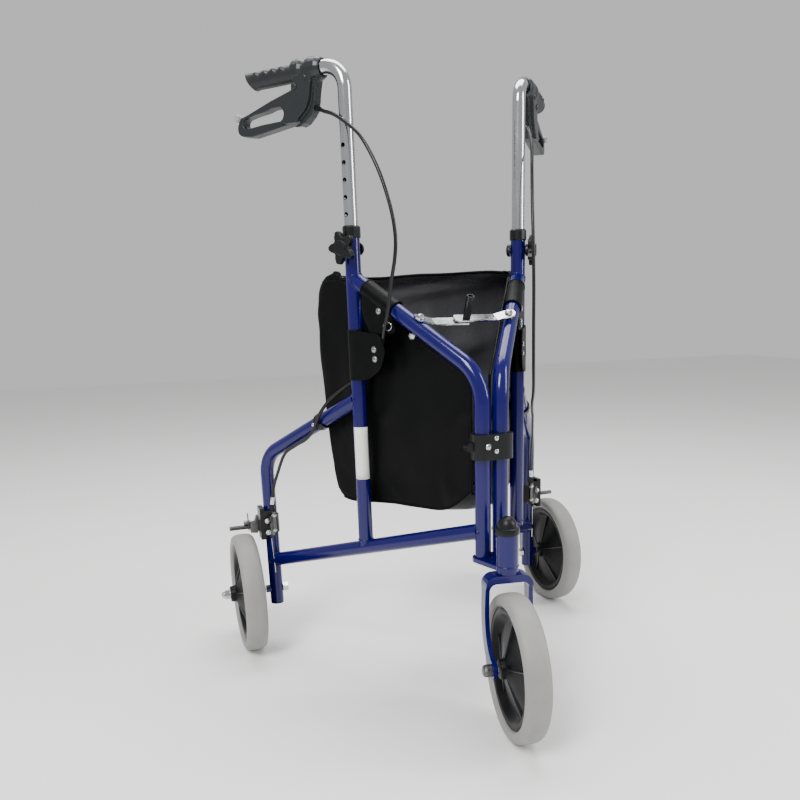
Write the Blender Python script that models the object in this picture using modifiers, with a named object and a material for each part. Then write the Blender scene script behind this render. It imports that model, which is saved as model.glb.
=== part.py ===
"""Three-wheeled folding walker (rollator): two side frames hinged at a caster head, telescopic
handles with loop brake levers, solid-tyred wheels and a tote bag hung between the frames.

Units are metres, +Z is up and the walker faces -Y. The origin is on the floor, at the centre of
the bounding box. A side frame lies in a vertical plane through its front tube. In that plane
"u" is the distance behind the front tube's axis, "off" the distance outboard of the plane.
"""

import math

import bmesh
import bpy
from mathutils import Matrix, Vector

# ---------------------------------------------------------------- driving dimensions
HINGE_Y = -0.1331            # front tubes' axes, which are also the fold axes
HALF_SPACING = 0.013         # each front tube's axis from the middle plane
SPREAD = math.radians(33.0)  # a side frame's angle from the middle plane when open
HANDLE_YAW = math.radians(38.0)

TUBE_R = 0.011
TUBE_WALL = 0.0015
GAP = 0.0003                 # clearance between pieces that touch on the real walker
TUBE_SIDES = 12
WIRE_RES = 2                 # curve bevel resolution, 8 sides
ROUND = 16                   # sides of turned pieces and cutters
WHEEL_STEPS = 32

UPRIGHT_U = 0.213
LEG_U = 0.424
FRONT_BOTTOM = 0.2290
CORNER_Z = 0.474             # where the front and upper tubes' axes would meet
UPPER_JOIN_Z = 0.603         # where the upper tube's axis meets the upright's
LOWER_Z = 0.2656             # lower tube's axis at the front tube
LOWER_DROP = -0.2715         # its slope towards the rear
LEG_JOIN_Z = 0.435           # where the rear leg's axis meets the upright's
LEG_CORNER_Z = 0.3305
LEG_BOTTOM = 0.0735
UPRIGHT_TOP = 0.668
FRONT_BEND = 0.065
LEG_BEND = 0.050

HOLE_Z = 0.6425              # knob axis, and the hole in use
HOLE_PITCH = 0.0218
HOLE_R = 0.0034
HANDLE_R = 0.0095
HANDLE_WALL = 0.0012
HANDLE_BOTTOM = 0.590
HANDLE_Z = 0.873             # handle axis
HANDLE_BEND = 0.030
HANDLE_END = 0.1530          # tube's end behind the upright, under the grip
GRIP_START = 0.0806
GRIP_END = 0.1690
HOUSING_T = 0.027
LEVER_T = 0.016
SLOT_T = 0.0170
PIVOT = (0.0748, -0.0197)    # lever pivot, behind the upright and above the handle's axis

WHEEL_R = 0.100
WHEEL_Z = WHEEL_R * math.cos(math.pi / WHEEL_STEPS)
RIM_R = 0.082
HUB_OUTER = 0.0300           # a rear hub's outer half, from the middle of the tyre
HUB_INNER = 0.0265
FRONT_HUB = 0.0240
RIBS = 5
AXLE_R = 0.004
REAR_TRACK = 0.2915
HEAD_Y = HINGE_Y - 0.0485
HEAD_R = 0.0148
CASTER_LEAD = 0.041          # front axle ahead of the head's axis, as the caster stands
CASTER_YAW = math.radians(-9.0)
PLATE_Z = (0.2225, 0.2285)
CROWN_TOP = 0.2180

LINK_U = 0.104               # link bolt along the upper tube
LINK_H = {-1: 0.0124, 1: 0.0166}   # each bar above its tube's axis; the right bar lies on top
LINK_W = 0.017
LINK_T = 0.0022
LINK_TILT = math.radians(28.0)
LINK_END = {-1: 0.0060, 1: -0.0165}  # where each bar ends, across the walker

BAG_OFF = 0.0175             # bag's side panels inside the frame planes
BAG_T = 0.003
CABLE_R = 0.0025

UPPER_TILT = math.atan2(UPPER_JOIN_Z - CORNER_Z, UPRIGHT_U)
SIDES = (("left", -1), ("right", 1))

BLUE = ((0.010, 0.008, 0.135), 0.25, 0.0)
BLACK = ((0.012, 0.012, 0.013), 0.45, 0.0)
RUBBER = ((0.020, 0.020, 0.021), 0.75, 0.0)
GREY_TYRE = ((0.36, 0.35, 0.33), 0.7, 0.0)
CHROME = ((0.72, 0.73, 0.75), 0.12, 1.0)
STEEL = ((0.55, 0.55, 0.54), 0.3, 1.0)
VINYL = ((0.010, 0.010, 0.011), 0.5, 0.0)

# ---------------------------------------------------------------- scene and helpers
for old in list(bpy.data.objects):
    bpy.data.objects.remove(old, do_unlink=True)

parts = bpy.data.collections.new("rollator_walker")
cutters = bpy.data.collections.new("cutters")
bpy.context.scene.collection.children.link(parts)
bpy.context.scene.collection.children.link(cutters)
materials = {}


def material(look):
    """A Principled material, one for each named look."""
    if look not in materials:
        colour, rough, metal = look
        made = bpy.data.materials.new("finish")
        made.use_nodes = True
        shader = made.node_tree.nodes["Principled BSDF"]
        shader.inputs["Base Color"].default_value = (*colour, 1.0)
        shader.inputs["Roughness"].default_value = rough
        shader.inputs["Metallic"].default_value = metal
        materials[look] = made
    return materials[look]


def add_object(name, data, look=None, matrix=None, cutter=False):
    """Link new object data, as a part or as a hidden cutter."""
    obj = bpy.data.objects.new(name, data)
    (cutters if cutter else parts).objects.link(obj)
    if look:
        data.materials.append(material(look))
    if matrix is not None:
        obj.matrix_world = matrix
    if cutter:
        obj.hide_render = True
        obj.display_type = "WIRE"
    return obj


def as_mesh(obj):
    """Turn a curve object, or one with modifiers, into a welded mesh object of the same name."""
    bpy.context.view_layer.update()
    graph = bpy.context.evaluated_depsgraph_get()
    data = bpy.data.meshes.new_from_object(obj.evaluated_get(graph))
    bm = bmesh.new()
    bm.from_mesh(data)
    bmesh.ops.remove_doubles(bm, verts=bm.verts, dist=0.00001)
    bmesh.ops.recalc_face_normals(bm, faces=bm.faces)
    bm.to_mesh(data)
    bm.free()
    name, matrix = obj.name, obj.matrix_world.copy()
    home = obj.users_collection[0]
    hidden = obj.hide_render
    bpy.data.objects.remove(obj, do_unlink=True)
    made = bpy.data.objects.new(name, data)
    home.objects.link(made)
    made.matrix_world = matrix
    made.hide_render = hidden
    made.display_type = "WIRE" if hidden else "TEXTURED"
    return made


def smooth(obj, angle=35.0):
    obj.data.shade_smooth()
    obj.data.set_sharp_from_angle(angle=math.radians(angle))
    return obj


def boolean(obj, other, operation="DIFFERENCE"):
    mod = obj.modifiers.new(operation.lower(), "BOOLEAN")
    mod.operation = operation
    mod.object = other
    return obj


def wire(name, points, radius, look):
    """A round wire along points, with flat caps."""
    data = bpy.data.curves.new(name, "CURVE")
    data.dimensions = "3D"
    data.bevel_depth = radius
    data.bevel_resolution = WIRE_RES
    data.use_fill_caps = True
    spline = data.splines.new("POLY")
    spline.points.add(len(points) - 1)
    for point, place in zip(spline.points, points):
        point.co = (*place, 1.0)
    return as_mesh(add_object(name, data, look))


def hollow_tube(name, points, radius, wall, look):
    """A tube with open ends along points, mitred at each of them."""
    points = [Vector(p) for p in points]
    runs = [(b - a).normalized() for a, b in zip(points, points[1:])]
    across = runs[0].orthogonal().normalized()
    bm = bmesh.new()
    rings = []
    for i, point in enumerate(points):
        before, after = runs[max(i - 1, 0)], runs[min(i, len(runs) - 1)]
        if i:
            across = before.rotation_difference(after) @ across
        across = (across - after * across.dot(after)).normalized()
        mitre = (before + after).normalized()
        ring = []
        for reach in (radius, radius - wall):
            for k in range(TUBE_SIDES):
                turn = Matrix.Rotation(2 * math.pi * (k + 0.37) / TUBE_SIDES, 3, after)
                spoke = turn @ across * reach
                ring.append(bm.verts.new(point + spoke - after * spoke.dot(mitre) / after.dot(mitre)))
        rings.append((ring[:TUBE_SIDES], ring[TUBE_SIDES:]))
    for k in range(TUBE_SIDES):
        n = (k + 1) % TUBE_SIDES
        for (outer, inner), (outer_next, inner_next) in zip(rings, rings[1:]):
            bm.faces.new((outer[k], outer[n], outer_next[n], outer_next[k]))
            bm.faces.new((inner[n], inner[k], inner_next[k], inner_next[n]))
        for outer, inner in (rings[0], rings[-1]):
            bm.faces.new((outer[n], outer[k], inner[k], inner[n]))
    bmesh.ops.recalc_face_normals(bm, faces=bm.faces)
    data = bpy.data.meshes.new(name)
    bm.to_mesh(data)
    bm.free()
    return add_object(name, data, look)


def round_cutter(name, start, end, radius):
    """A cylinder whose flats, not only its corners, clear a round piece of this radius."""
    clear = (radius + GAP) / math.cos(math.pi / ROUND)
    return cylinder(name, start, end, clear, None, cutter=True)


def axis_matrix(origin, direction):
    """Local +Z along direction."""
    turn = Vector(direction).normalized().to_track_quat("Z", "Y").to_matrix().to_4x4()
    return Matrix.Translation(Vector(origin)) @ turn


def cylinder(name, start, end, radius, look, cutter=False, sides=ROUND):
    start, end = Vector(start), Vector(end)
    bm = bmesh.new()
    bmesh.ops.create_cone(bm, cap_ends=True, segments=sides, radius1=radius, radius2=radius,
                          depth=(end - start).length)
    data = bpy.data.meshes.new(name)
    bm.to_mesh(data)
    bm.free()
    return add_object(name, data, look, axis_matrix((start + end) / 2, end - start), cutter)


def box(name, low, high, look, matrix=None, cutter=False):
    """A box between two local corners."""
    low, high = Vector(low), Vector(high)
    bm = bmesh.new()
    bmesh.ops.create_cube(bm, size=1.0)
    for vert in bm.verts:
        vert.co = Vector([(a + b) / 2 + v * (b - a) for a, b, v in zip(low, high, vert.co)])
    data = bpy.data.meshes.new(name)
    bm.to_mesh(data)
    bm.free()
    return add_object(name, data, look, matrix, cutter)


def turned(name, profile, look, matrix, steps=ROUND, phase=0.0, closed=False, cutter=False):
    """A (radius, height) profile turned about local Z. It runs down its outer side."""
    data = bpy.data.meshes.new(name)
    spin = Matrix.Rotation(phase, 3, "Z")
    verts = [spin @ Vector((r, 0.0, h)) for r, h in profile]
    count = len(verts)
    edges = [(i, (i + 1) % count) for i in range(count if closed else count - 1)]
    data.from_pydata(verts, edges, [])
    obj = add_object(name, data, look, matrix, cutter)
    screw = obj.modifiers.new("turn", "SCREW")
    screw.axis = "Z"
    screw.steps = steps
    screw.render_steps = steps
    screw.use_merge_vertices = True
    screw.merge_threshold = 0.00002
    return as_mesh(obj)


def flat(name, loops, thickness, look, matrix, cutter=False):
    """Outlines in local XY, the first solid and the rest holes, thickened about local Z = 0."""
    data = bpy.data.curves.new(name, "CURVE")
    data.dimensions = "2D"
    data.fill_mode = "BOTH"
    data.extrude = thickness / 2
    for loop in loops:
        spline = data.splines.new("POLY")
        spline.points.add(len(loop) - 1)
        spline.use_cyclic_u = True
        for point, (x, y) in zip(spline.points, loop):
            point.co = (x, y, 0.0, 1.0)
    return as_mesh(add_object(name, data, look, matrix, cutter))


def join(obj, *others):
    """Union cutters into a part, and leave one welded mesh."""
    for other in others:
        boolean(obj, other, "UNION")
    return as_mesh(obj)


def circle(cx, cy, radius, count=16, start=0.0):
    return [(cx + radius * math.cos(start + 2 * math.pi * i / count),
             cy + radius * math.sin(start + 2 * math.pi * i / count)) for i in range(count)]


def arc(cx, cy, radius, first, last, count):
    """Points on an arc between two angles in degrees."""
    return [(cx + radius * math.cos(math.radians(first + (last - first) * i / (count - 1))),
             cy + radius * math.sin(math.radians(first + (last - first) * i / (count - 1))))
            for i in range(count)]


def bent(start, corner, end, radius, steps=6):
    """Points from start to end, with an arc of this radius instead of the corner."""
    start, corner, end = Vector(start), Vector(corner), Vector(end)
    back, ahead = (start - corner).normalized(), (end - corner).normalized()
    half = back.angle(ahead) / 2
    centre = corner + (back + ahead).normalized() * radius / math.sin(half)
    reach = radius / math.tan(half)
    first, last = corner + back * reach - centre, corner + ahead * reach - centre
    swing = first.angle(last)
    turn = [centre + (first * math.sin(swing * (1 - i / steps)) + last * math.sin(swing * i / steps))
            / math.sin(swing) for i in range(steps + 1)]
    return [start, *turn, end]


def smooth_route(points, per_span):
    """Points on a Catmull-Rom curve through the given ones."""
    points = [Vector(p) for p in points]
    padded = [points[0] * 2 - points[1], *points, points[-1] * 2 - points[-2]]
    made = []
    for i in range(1, len(padded) - 2):
        a, b, c, d = padded[i - 1:i + 3]
        for k in range(per_span):
            t = k / per_span
            made.append(0.5 * (2 * b + (c - a) * t + (2 * a - 5 * b + 4 * c - d) * t * t
                               + (3 * b - a - 3 * c + d) * t ** 3))
    return made + [points[-1]]


# ---------------------------------------------------------------- places in a side frame
def place(side, u, z, off=0.0):
    return Vector((side * (HALF_SPACING + u * math.sin(SPREAD) + off * math.cos(SPREAD)),
                   HINGE_Y + u * math.cos(SPREAD) - off * math.sin(SPREAD), z))


def frame_matrix(side, origin, yaw):
    """Local X rearward at this yaw, local Y up, local Z across."""
    along = Vector((side * math.sin(yaw), math.cos(yaw), 0.0))
    up = Vector((0.0, 0.0, 1.0))
    across = along.cross(up)
    turn = Matrix((along, up, across)).transposed().to_4x4()
    return Matrix.Translation(origin) @ turn


def outward(side):
    return Vector((side * math.cos(SPREAD), -math.sin(SPREAD), 0.0))


def handle_matrix(side):
    return frame_matrix(side, place(side, UPRIGHT_U, HANDLE_Z), HANDLE_YAW)


def upper_axis_z(u):
    return CORNER_Z + u * math.tan(UPPER_TILT)


def leg_axis_z(u):
    return LEG_JOIN_Z + (LEG_CORNER_Z - LEG_JOIN_Z) * (u - UPRIGHT_U) / (LEG_U - UPRIGHT_U)


def upper_normal(side):
    """Up and forward, square to the upper tube in the frame's plane."""
    rear = Vector((side * math.sin(SPREAD), math.cos(SPREAD), 0.0))
    return -rear * math.sin(UPPER_TILT) + Vector((0.0, 0.0, math.cos(UPPER_TILT)))


# ---------------------------------------------------------------- side frame tubes
def front_tube(name, side):
    points = bent(place(side, 0, FRONT_BOTTOM), place(side, 0, CORNER_Z),
                  place(side, UPRIGHT_U - 0.004, upper_axis_z(UPRIGHT_U - 0.004)), FRONT_BEND, 6)
    obj = hollow_tube("front_tube_" + name, points, TUBE_R, TUBE_WALL, BLUE)
    boolean(obj, round_cutter("front_cope_" + name, place(side, UPRIGHT_U, 0.5),
                              place(side, UPRIGHT_U, 0.7), TUBE_R))
    centre = place(side, LINK_U, upper_axis_z(LINK_U))
    up = upper_normal(side)
    boolean(obj, cylinder("link_hole_" + name, centre - up * 0.03, centre + up * 0.03, 0.0034,
                          None, cutter=True, sides=12))
    return smooth(as_mesh(obj))


def upright(name, side):
    low = LOWER_Z + LOWER_DROP * UPRIGHT_U
    obj = hollow_tube("upright_" + name, [place(side, UPRIGHT_U, low + 0.002),
                                          place(side, UPRIGHT_U, UPRIGHT_TOP)],
                      TUBE_R, TUBE_WALL - 0.0005, BLUE)
    boolean(obj, lower_cutter("upright_" + name, side))
    across = outward(side)
    centre = place(side, UPRIGHT_U, HOLE_Z)
    boolean(obj, cylinder("knob_hole_" + name, centre - across * 0.03, centre + across * 0.03,
                          0.0042, None, cutter=True, sides=12))
    return smooth(as_mesh(obj))


def lower_cutter(name, side):
    return round_cutter("lower_cope_" + name, place(side, -0.05, LOWER_Z - 0.05 * LOWER_DROP),
                        place(side, LEG_U + 0.05, LOWER_Z + LOWER_DROP * (LEG_U + 0.05)), TUBE_R)


def lower_tube(name, side):
    obj = hollow_tube("lower_tube_" + name,
                      [place(side, 0.004, LOWER_Z + LOWER_DROP * 0.004),
                       place(side, LEG_U - 0.004, LOWER_Z + LOWER_DROP * (LEG_U - 0.004))],
                      TUBE_R, TUBE_WALL, BLUE)
    boolean(obj, round_cutter("lower_front_" + name, place(side, 0, 0.2), place(side, 0, 0.35),
                              TUBE_R))
    boolean(obj, round_cutter("lower_rear_" + name, place(side, LEG_U, 0.0),
                              place(side, LEG_U, 0.25), TUBE_R))
    return smooth(as_mesh(obj))


def rear_leg(name, side):
    """The bent leg with its cross sleeve, bored for the axle."""
    points = bent(place(side, UPRIGHT_U + 0.004, leg_axis_z(UPRIGHT_U + 0.004)),
                  place(side, LEG_U, LEG_CORNER_Z), place(side, LEG_U, LEG_BOTTOM), LEG_BEND, 5)
    obj = hollow_tube("rear_leg_" + name, points, TUBE_R, TUBE_WALL, BLUE)
    foot = place(side, LEG_U, WHEEL_Z)
    across = Vector((side, 0.0, 0.0))
    sleeve = cylinder("sleeve_" + name, foot - across * 0.0105, foot + across * 0.0175, 0.0065,
                      None, cutter=True, sides=16)
    boolean(obj, sleeve, "UNION")
    boolean(obj, cylinder("axle_bore_" + name, foot - across * 0.03, foot + across * 0.04,
                          AXLE_R + GAP * 2, None, cutter=True, sides=16))
    boolean(obj, round_cutter("leg_cope_" + name, place(side, UPRIGHT_U, 0.3),
                              place(side, UPRIGHT_U, 0.55), TUBE_R))
    return smooth(as_mesh(obj))


# ---------------------------------------------------------------- handle, grip and brake lever
def collar(name, side):
    inner, seat = HANDLE_R + 2 * GAP, TUBE_R + 2 * GAP
    top, foot = 0.6722, 0.6565
    profile = [(inner, top), (0.0110, top), (0.0126, top - 0.002), (0.0126, foot + 0.001),
               (0.0122, foot), (seat, foot), (seat, UPRIGHT_TOP + GAP), (inner, UPRIGHT_TOP + GAP)]
    return smooth(turned("collar_" + name, profile, BLACK,
                         Matrix.Translation(place(side, UPRIGHT_U, 0)), closed=True))


def star_outline(lobes=5, radius=0.0180, swell=0.0050, count=30):
    """A star with one lobe straight back."""
    made = []
    for i in range(count):
        angle = 2 * math.pi * i / count
        reach = radius + swell * math.cos(lobes * (angle - math.pi / 2))
        made.append((reach * math.sin(angle), reach * math.cos(angle)))
    return made


def knob(name, side):
    """Star knob, its hub and the end of its bolt in the upright's outer wall."""
    across = outward(side)
    centre = place(side, UPRIGHT_U, HOLE_Z)
    base = frame_matrix(side, centre, SPREAD)
    obj = flat("height_knob_" + name, [star_outline()], 0.0085, BLACK,
               base @ Matrix.Translation((0, 0, side * 0.0207)))
    hub = cylinder("knob_hub_" + name, centre + across * (TUBE_R + 2 * GAP), centre + across * 0.0180,
                   0.0088, None, cutter=True)
    shank = cylinder("knob_shank_" + name, centre + across * 0.0101, centre + across * 0.018,
                     0.0037, None, cutter=True, sides=12)
    boss = cylinder("knob_boss_" + name, centre + across * 0.0230, centre + across * 0.0278,
                    0.0095, None, cutter=True)
    return smooth(join(obj, hub, shank, boss))


def knob_nut(name, side):
    across = outward(side)
    centre = place(side, UPRIGHT_U, HOLE_Z)
    profile = [(0.0, 0.0178), (0.0052, 0.0174), (0.0080, 0.0162), (0.0090, 0.0142),
               (0.0090, TUBE_R + 2 * GAP), (0.0037, TUBE_R + 2 * GAP), (0.0037, 0.0101), (0.0, 0.0101)]
    return smooth(turned("knob_nut_" + name, profile, BLACK, axis_matrix(centre, -across)))


def handle_tube(name, side):
    base = handle_matrix(side)
    points = bent(place(side, UPRIGHT_U, HANDLE_BOTTOM), place(side, UPRIGHT_U, HANDLE_Z),
                  base @ Vector((HANDLE_END, 0, 0)), HANDLE_BEND, 6)
    obj = hollow_tube("handle_tube_" + name, points, HANDLE_R, HANDLE_WALL, CHROME)
    across = outward(side)
    for hole in range(-1, 7):
        centre = place(side, UPRIGHT_U, HOLE_Z + HOLE_PITCH * hole)
        boolean(obj, cylinder(f"height_hole_{name}_{hole}", centre - across * 0.02,
                              centre + across * 0.02, HOLE_R, None, cutter=True, sides=8))
    return smooth(as_mesh(obj))


def grip(name, side):
    """Moulded grip with a blind bore and a slanted end."""
    bore = HANDLE_R + GAP * 2
    profile = [(0.0, GRIP_END), (0.0121, GRIP_END), (0.0118, GRIP_END - 0.006),
               (0.0114, GRIP_END - 0.014), (0.0112, 0.136), (0.0117, 0.120), (0.0113, 0.100),
               (0.0115, GRIP_START + 0.004), (0.0112, GRIP_START), (bore, GRIP_START),
               (bore, HANDLE_END + 0.001), (0.0, HANDLE_END + 0.001)]
    turn = Matrix.Rotation(math.pi / 2, 4, "Y")
    base = handle_matrix(side)
    obj = turned("grip_" + name, profile, RUBBER, base @ turn)
    slant = [(0.1722, 0.0200), (0.2100, 0.0200), (0.2100, -0.0200), (0.1500, -0.0200)]
    boolean(obj, flat("grip_slant_" + name, [slant], 0.05, None, base, cutter=True))
    return smooth(as_mesh(obj))


def cheek_outline():
    """The brake housing's flat cheeks seen from the side, below the clamp ring."""
    return [(0.0385, 0.0030), (0.0700, 0.0030), (0.0696, -0.0019), (0.0754, -0.0095),
            (0.0805, -0.0172), (0.0813, -0.0257), (0.0848, -0.0350), (0.0908, -0.0416),
            (0.0922, -0.0530), (0.1040, -0.0595), (0.0960, -0.0635), (0.0760, -0.0640),
            (0.0700, -0.0578), (0.0578, -0.0488), (0.0525, -0.0400), (0.0500, -0.0300),
            (0.0476, -0.0195), (0.0445, -0.0079)]


def nose_outline():
    """The narrower front and nose between the cheeks, where the cable comes out."""
    return [(0.0400, -0.0030), (0.0425, -0.0174), (0.0450, -0.0300), (0.0464, -0.0400),
            (0.0478, -0.0460), (0.0503, -0.0518), (0.0560, -0.0580), (0.0650, -0.0648),
            (0.0740, -0.0676), (0.0785, -0.0672), (0.0785, -0.0300), (0.0700, -0.0030)]


def lever_outline():
    """Loop lever seen from the side: pivot cheek, two bars and a rounded end."""
    cheek = arc(*PIVOT, 0.0064, 200, 80, 5)
    tip = arc(0.1785, -0.0590, 0.0102, 40, -80, 6)
    return cheek + [(0.0872, -0.0219), (0.1243, -0.0303), (0.1665, -0.0419), (0.1800, -0.0450)] + tip \
        + [(0.1623, -0.0716), (0.1269, -0.0677), (0.0960, -0.0640), (0.0800, -0.0600),
           (0.0745, -0.0480), (0.0705, -0.0350)]


def lever_loop():
    """Opening between the lever's two bars."""
    end = arc(0.1712, -0.0530, 0.0068, -80, 70, 5)
    front = arc(0.1110, -0.0485, 0.0098, 110, 250, 6)
    return [(0.1562, -0.0440), (0.1339, -0.0419), (0.1243, -0.0395)] + front \
        + [(0.1381, -0.0579), (0.1600, -0.0596)] + end


def brake_housing(name, side):
    base = handle_matrix(side)
    obj = flat("brake_housing_" + name, [cheek_outline()], HOUSING_T, BLACK, base)
    nose = flat("housing_nose_" + name, [nose_outline()], 0.0145, None, base, cutter=True)
    ring = [(0.0, 0.0800), (0.0156, 0.0800), (0.0162, 0.0785), (0.0162, 0.0670), (0.0127, 0.0605),
            (0.0150, 0.0550), (0.0157, 0.0500), (0.0150, 0.0400), (0.0122, 0.0340), (0.0, 0.0340)]
    along = Matrix.Rotation(math.pi / 2, 4, "Y")
    clamp = turned("housing_clamp_" + name, ring, None, base @ along, cutter=True)
    obj = join(obj, nose, clamp)
    bore_r = (HANDLE_R + GAP) / math.cos(math.pi / ROUND)
    boolean(obj, cylinder("housing_bore_" + name, base @ Vector((-0.02, 0, 0)),
                          base @ Vector((0.12, 0, 0)), bore_r, None, cutter=True))
    slot = [(0.0668, -0.0120), (0.1300, -0.0120), (0.1300, -0.0800), (0.0785, -0.0800),
            (0.0725, -0.0600), (0.0678, -0.0430), (0.0668, -0.0300)]
    boolean(obj, flat("lever_slot_" + name, [slot], SLOT_T, None, base, cutter=True))
    boolean(obj, cylinder("pin_hole_" + name, base @ Vector((*PIVOT, -0.03)),
                          base @ Vector((*PIVOT, 0.03)), 0.0029, None, cutter=True, sides=12))
    return smooth(as_mesh(obj))


def brake_lever(name, side):
    base = handle_matrix(side)
    obj = flat("brake_lever_" + name, [lever_outline(), lever_loop(), circle(*PIVOT, 0.0029, 12)],
               LEVER_T, BLACK, base)
    pad = cylinder("lever_pad_" + name, base @ Vector((0.1855, -0.0450, -0.0120)),
                   base @ Vector((0.1855, -0.0450, 0.0120)), 0.0050, None, cutter=True, sides=12)
    neck = flat("lever_neck_" + name, [[(0.1750, -0.0450), (0.1850, -0.0415), (0.1885, -0.0450),
                                        (0.1860, -0.0540), (0.1770, -0.0510)]],
                0.0110, None, base, cutter=True)
    return smooth(join(obj, pad, neck))


def lever_pin(name, side):
    half = HOUSING_T / 2
    centre = handle_matrix(side) @ Matrix.Translation((*PIVOT, 0))
    profile = [(0.0, half + 0.0020), (0.0030, half + 0.0018), (0.0044, half + 0.0008),
               (0.0044, half + GAP), (0.0025, half + GAP), (0.0025, -half - GAP),
               (0.0044, -half - GAP), (0.0044, -half - 0.0008), (0.0030, -half - 0.0018),
               (0.0, -half - 0.0020)]
    return smooth(turned("lever_pin_" + name, profile, STEEL, centre, steps=12))


# ---------------------------------------------------------------- cables and their clips
CABLE_STOP = (LEG_U - 0.0136, 0.2510, 0.0074)
LEFT_ROUTE = [(0.2585, 0.8250, 0.0040), (0.2460, 0.8195, 0.0066), (0.2225, 0.8110, 0.0120),
              (0.1926, 0.7936, 0.0170), (0.1690, 0.7735, 0.0195), (0.1440, 0.7345, 0.0205),
              (0.1270, 0.6900, 0.0200), (0.1200, 0.6540, 0.0200), (0.1220, 0.6250, 0.0200),
              (0.1300, 0.5930, 0.0200), (0.1370, 0.5590, 0.0195), (0.1460, 0.5350, 0.0170),
              (0.1620, 0.5130, 0.0050), (0.1860, 0.4900, -0.0100), (0.2130, 0.4680, -0.0143),
              (0.2400, 0.4520, -0.0050), (0.2620, 0.4330, 0.0080), (0.2760, 0.4150, 0.0155),
              (0.2850, 0.3990, 0.0176), (0.2940, 0.3840, 0.0176), (0.3120, 0.3690, 0.0165),
              (0.3400, 0.3560, 0.0130), (0.3680, 0.3400, 0.0100), (0.3900, 0.3080, 0.0070),
              (0.4040, 0.2790, 0.0068), CABLE_STOP]
RIGHT_ROUTE = [(0.2585, 0.8250, 0.0040), (0.2420, 0.8140, 0.0115), (0.2200, 0.7880, 0.0185),
               (0.1950, 0.7520, 0.0215), (0.1740, 0.7050, 0.0245), (0.1620, 0.6500, 0.0275),
               (0.1620, 0.5900, 0.0290), (0.1730, 0.5300, 0.0285), (0.1980, 0.4750, 0.0270),
               (0.2320, 0.4320, 0.0245), (0.2620, 0.4070, 0.0200), (0.2850, 0.3920, 0.0180),
               (0.3020, 0.3800, 0.0176), (0.3320, 0.3590, 0.0150), (0.3630, 0.3350, 0.0120),
               (0.3880, 0.3050, 0.0080), (0.4030, 0.2790, 0.0068), CABLE_STOP]
ROUTES = {"left": LEFT_ROUTE, "right": RIGHT_ROUTE}
CLIP_U = 0.290


def brake_cable(name, side):
    points = [place(side, u, z, off) for u, z, off in ROUTES[name]]
    return smooth(wire("brake_cable_" + name, smooth_route(points, 2), CABLE_R, BLACK))


def sleeve_on(name, start, end, inner, outer, look):
    """A short sleeve round a tube, between two points on its axis."""
    length = (end - start).length
    profile = [(inner, length), (outer, length), (outer, 0.0), (inner, 0.0)]
    return smooth(turned(name, profile, look, axis_matrix(start, end - start), closed=True))


def cable_clip(name, side):
    start, end = (place(side, u, leg_axis_z(u)) for u in (CLIP_U - 0.005, CLIP_U + 0.005))
    return sleeve_on("cable_clip_" + name, start, end, TUBE_R + 2 * GAP, 0.0136, BLACK)


def bag_sleeve(name, side):
    start, end = (place(side, u, upper_axis_z(u)) for u in (0.139, 0.190))
    return sleeve_on("bag_sleeve_" + name, start, end, TUBE_R + 2 * GAP, 0.0129, VINYL)


# ---------------------------------------------------------------- wheels, axles and rear brakes
def wheel_matrix(centre, yaw=0.0):
    """Local Z along the axle, which lies along X before the yaw."""
    turn = Matrix.Rotation(yaw, 4, "Z") @ Matrix.Rotation(math.pi / 2, 4, "Y")
    return Matrix.Translation(centre) @ turn


def tyre(name, matrix):
    """Solid tyre with a flat-topped tread; one of its flats rests on the floor."""
    seat = RIM_R + GAP * 1.5
    half = [(seat, 0.0145), (0.0880, 0.0175), (0.0955, 0.0157), (WHEEL_R, 0.0065)]
    profile = half + [(r, -h) for r, h in reversed(half)]
    return smooth(turned("tyre_" + name, profile, GREY_TYRE, matrix, WHEEL_STEPS,
                         math.pi / WHEEL_STEPS, closed=True), 50)


def wheel(name, matrix, high, low):
    """Moulded wheel: rim, web with ribs, and a hub that reaches high and low along the axle."""
    bore = AXLE_R + 2 * GAP
    rim = [(0.0165, 0.0025), (0.0660, 0.0025), (0.0727, 0.0128), (RIM_R, 0.0128)]
    above = [(bore, high), (0.0132, high), (0.0140, high - 0.0080)] + rim
    below = [(bore, low), (0.0132, low), (0.0140, low - 0.0080)] + rim
    profile = above + [(r, -h) for r, h in reversed(below)]
    obj = turned("wheel_" + name, profile, BLACK, matrix, WHEEL_STEPS, math.pi / WHEEL_STEPS,
                 closed=True)
    ribs = []
    for i in range(RIBS):
        turn = matrix @ Matrix.Rotation(math.pi * (1 + 2 * i / RIBS), 4, "Z")
        ribs.append(box(f"rib_{name}_{i}", (0.0125, -0.0009, -0.0060), (0.0715, 0.0009, 0.0060),
                        None, turn, cutter=True))
    return smooth(join(obj, *ribs), 40)


def hexagon(name, start, end, radius, look):
    return cylinder(name, start, end, radius, look, cutter=look is None, sides=6)


def rear_axle(name, side):
    foot = Vector((side * REAR_TRACK, place(side, LEG_U, 0).y, WHEEL_Z))
    across = Vector((side, 0.0, 0.0))
    inner = place(side, LEG_U, WHEEL_Z) - across * 0.0116
    outer = foot + across * (HUB_OUTER + 0.0125)
    obj = cylinder("rear_axle_" + name, inner, outer, AXLE_R, STEEL, sides=16)
    head = hexagon("axle_head_" + name, inner - across * 0.0080, inner + across * GAP, 0.0078, None)
    nut_start = foot + across * (HUB_OUTER + 0.0015)
    profile = [(0.0, 0.0132), (0.0030, 0.0126), (0.0052, 0.0105), (0.0060, 0.0075),
               (0.0078, 0.0068), (0.0078, 0.0), (AXLE_R + GAP, 0.0), (AXLE_R + GAP, 0.0113),
               (0.0, 0.0113)]
    smooth(turned("axle_nut_" + name, profile, STEEL, axis_matrix(nut_start, across), steps=12))
    return smooth(join(obj, head))


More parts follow.
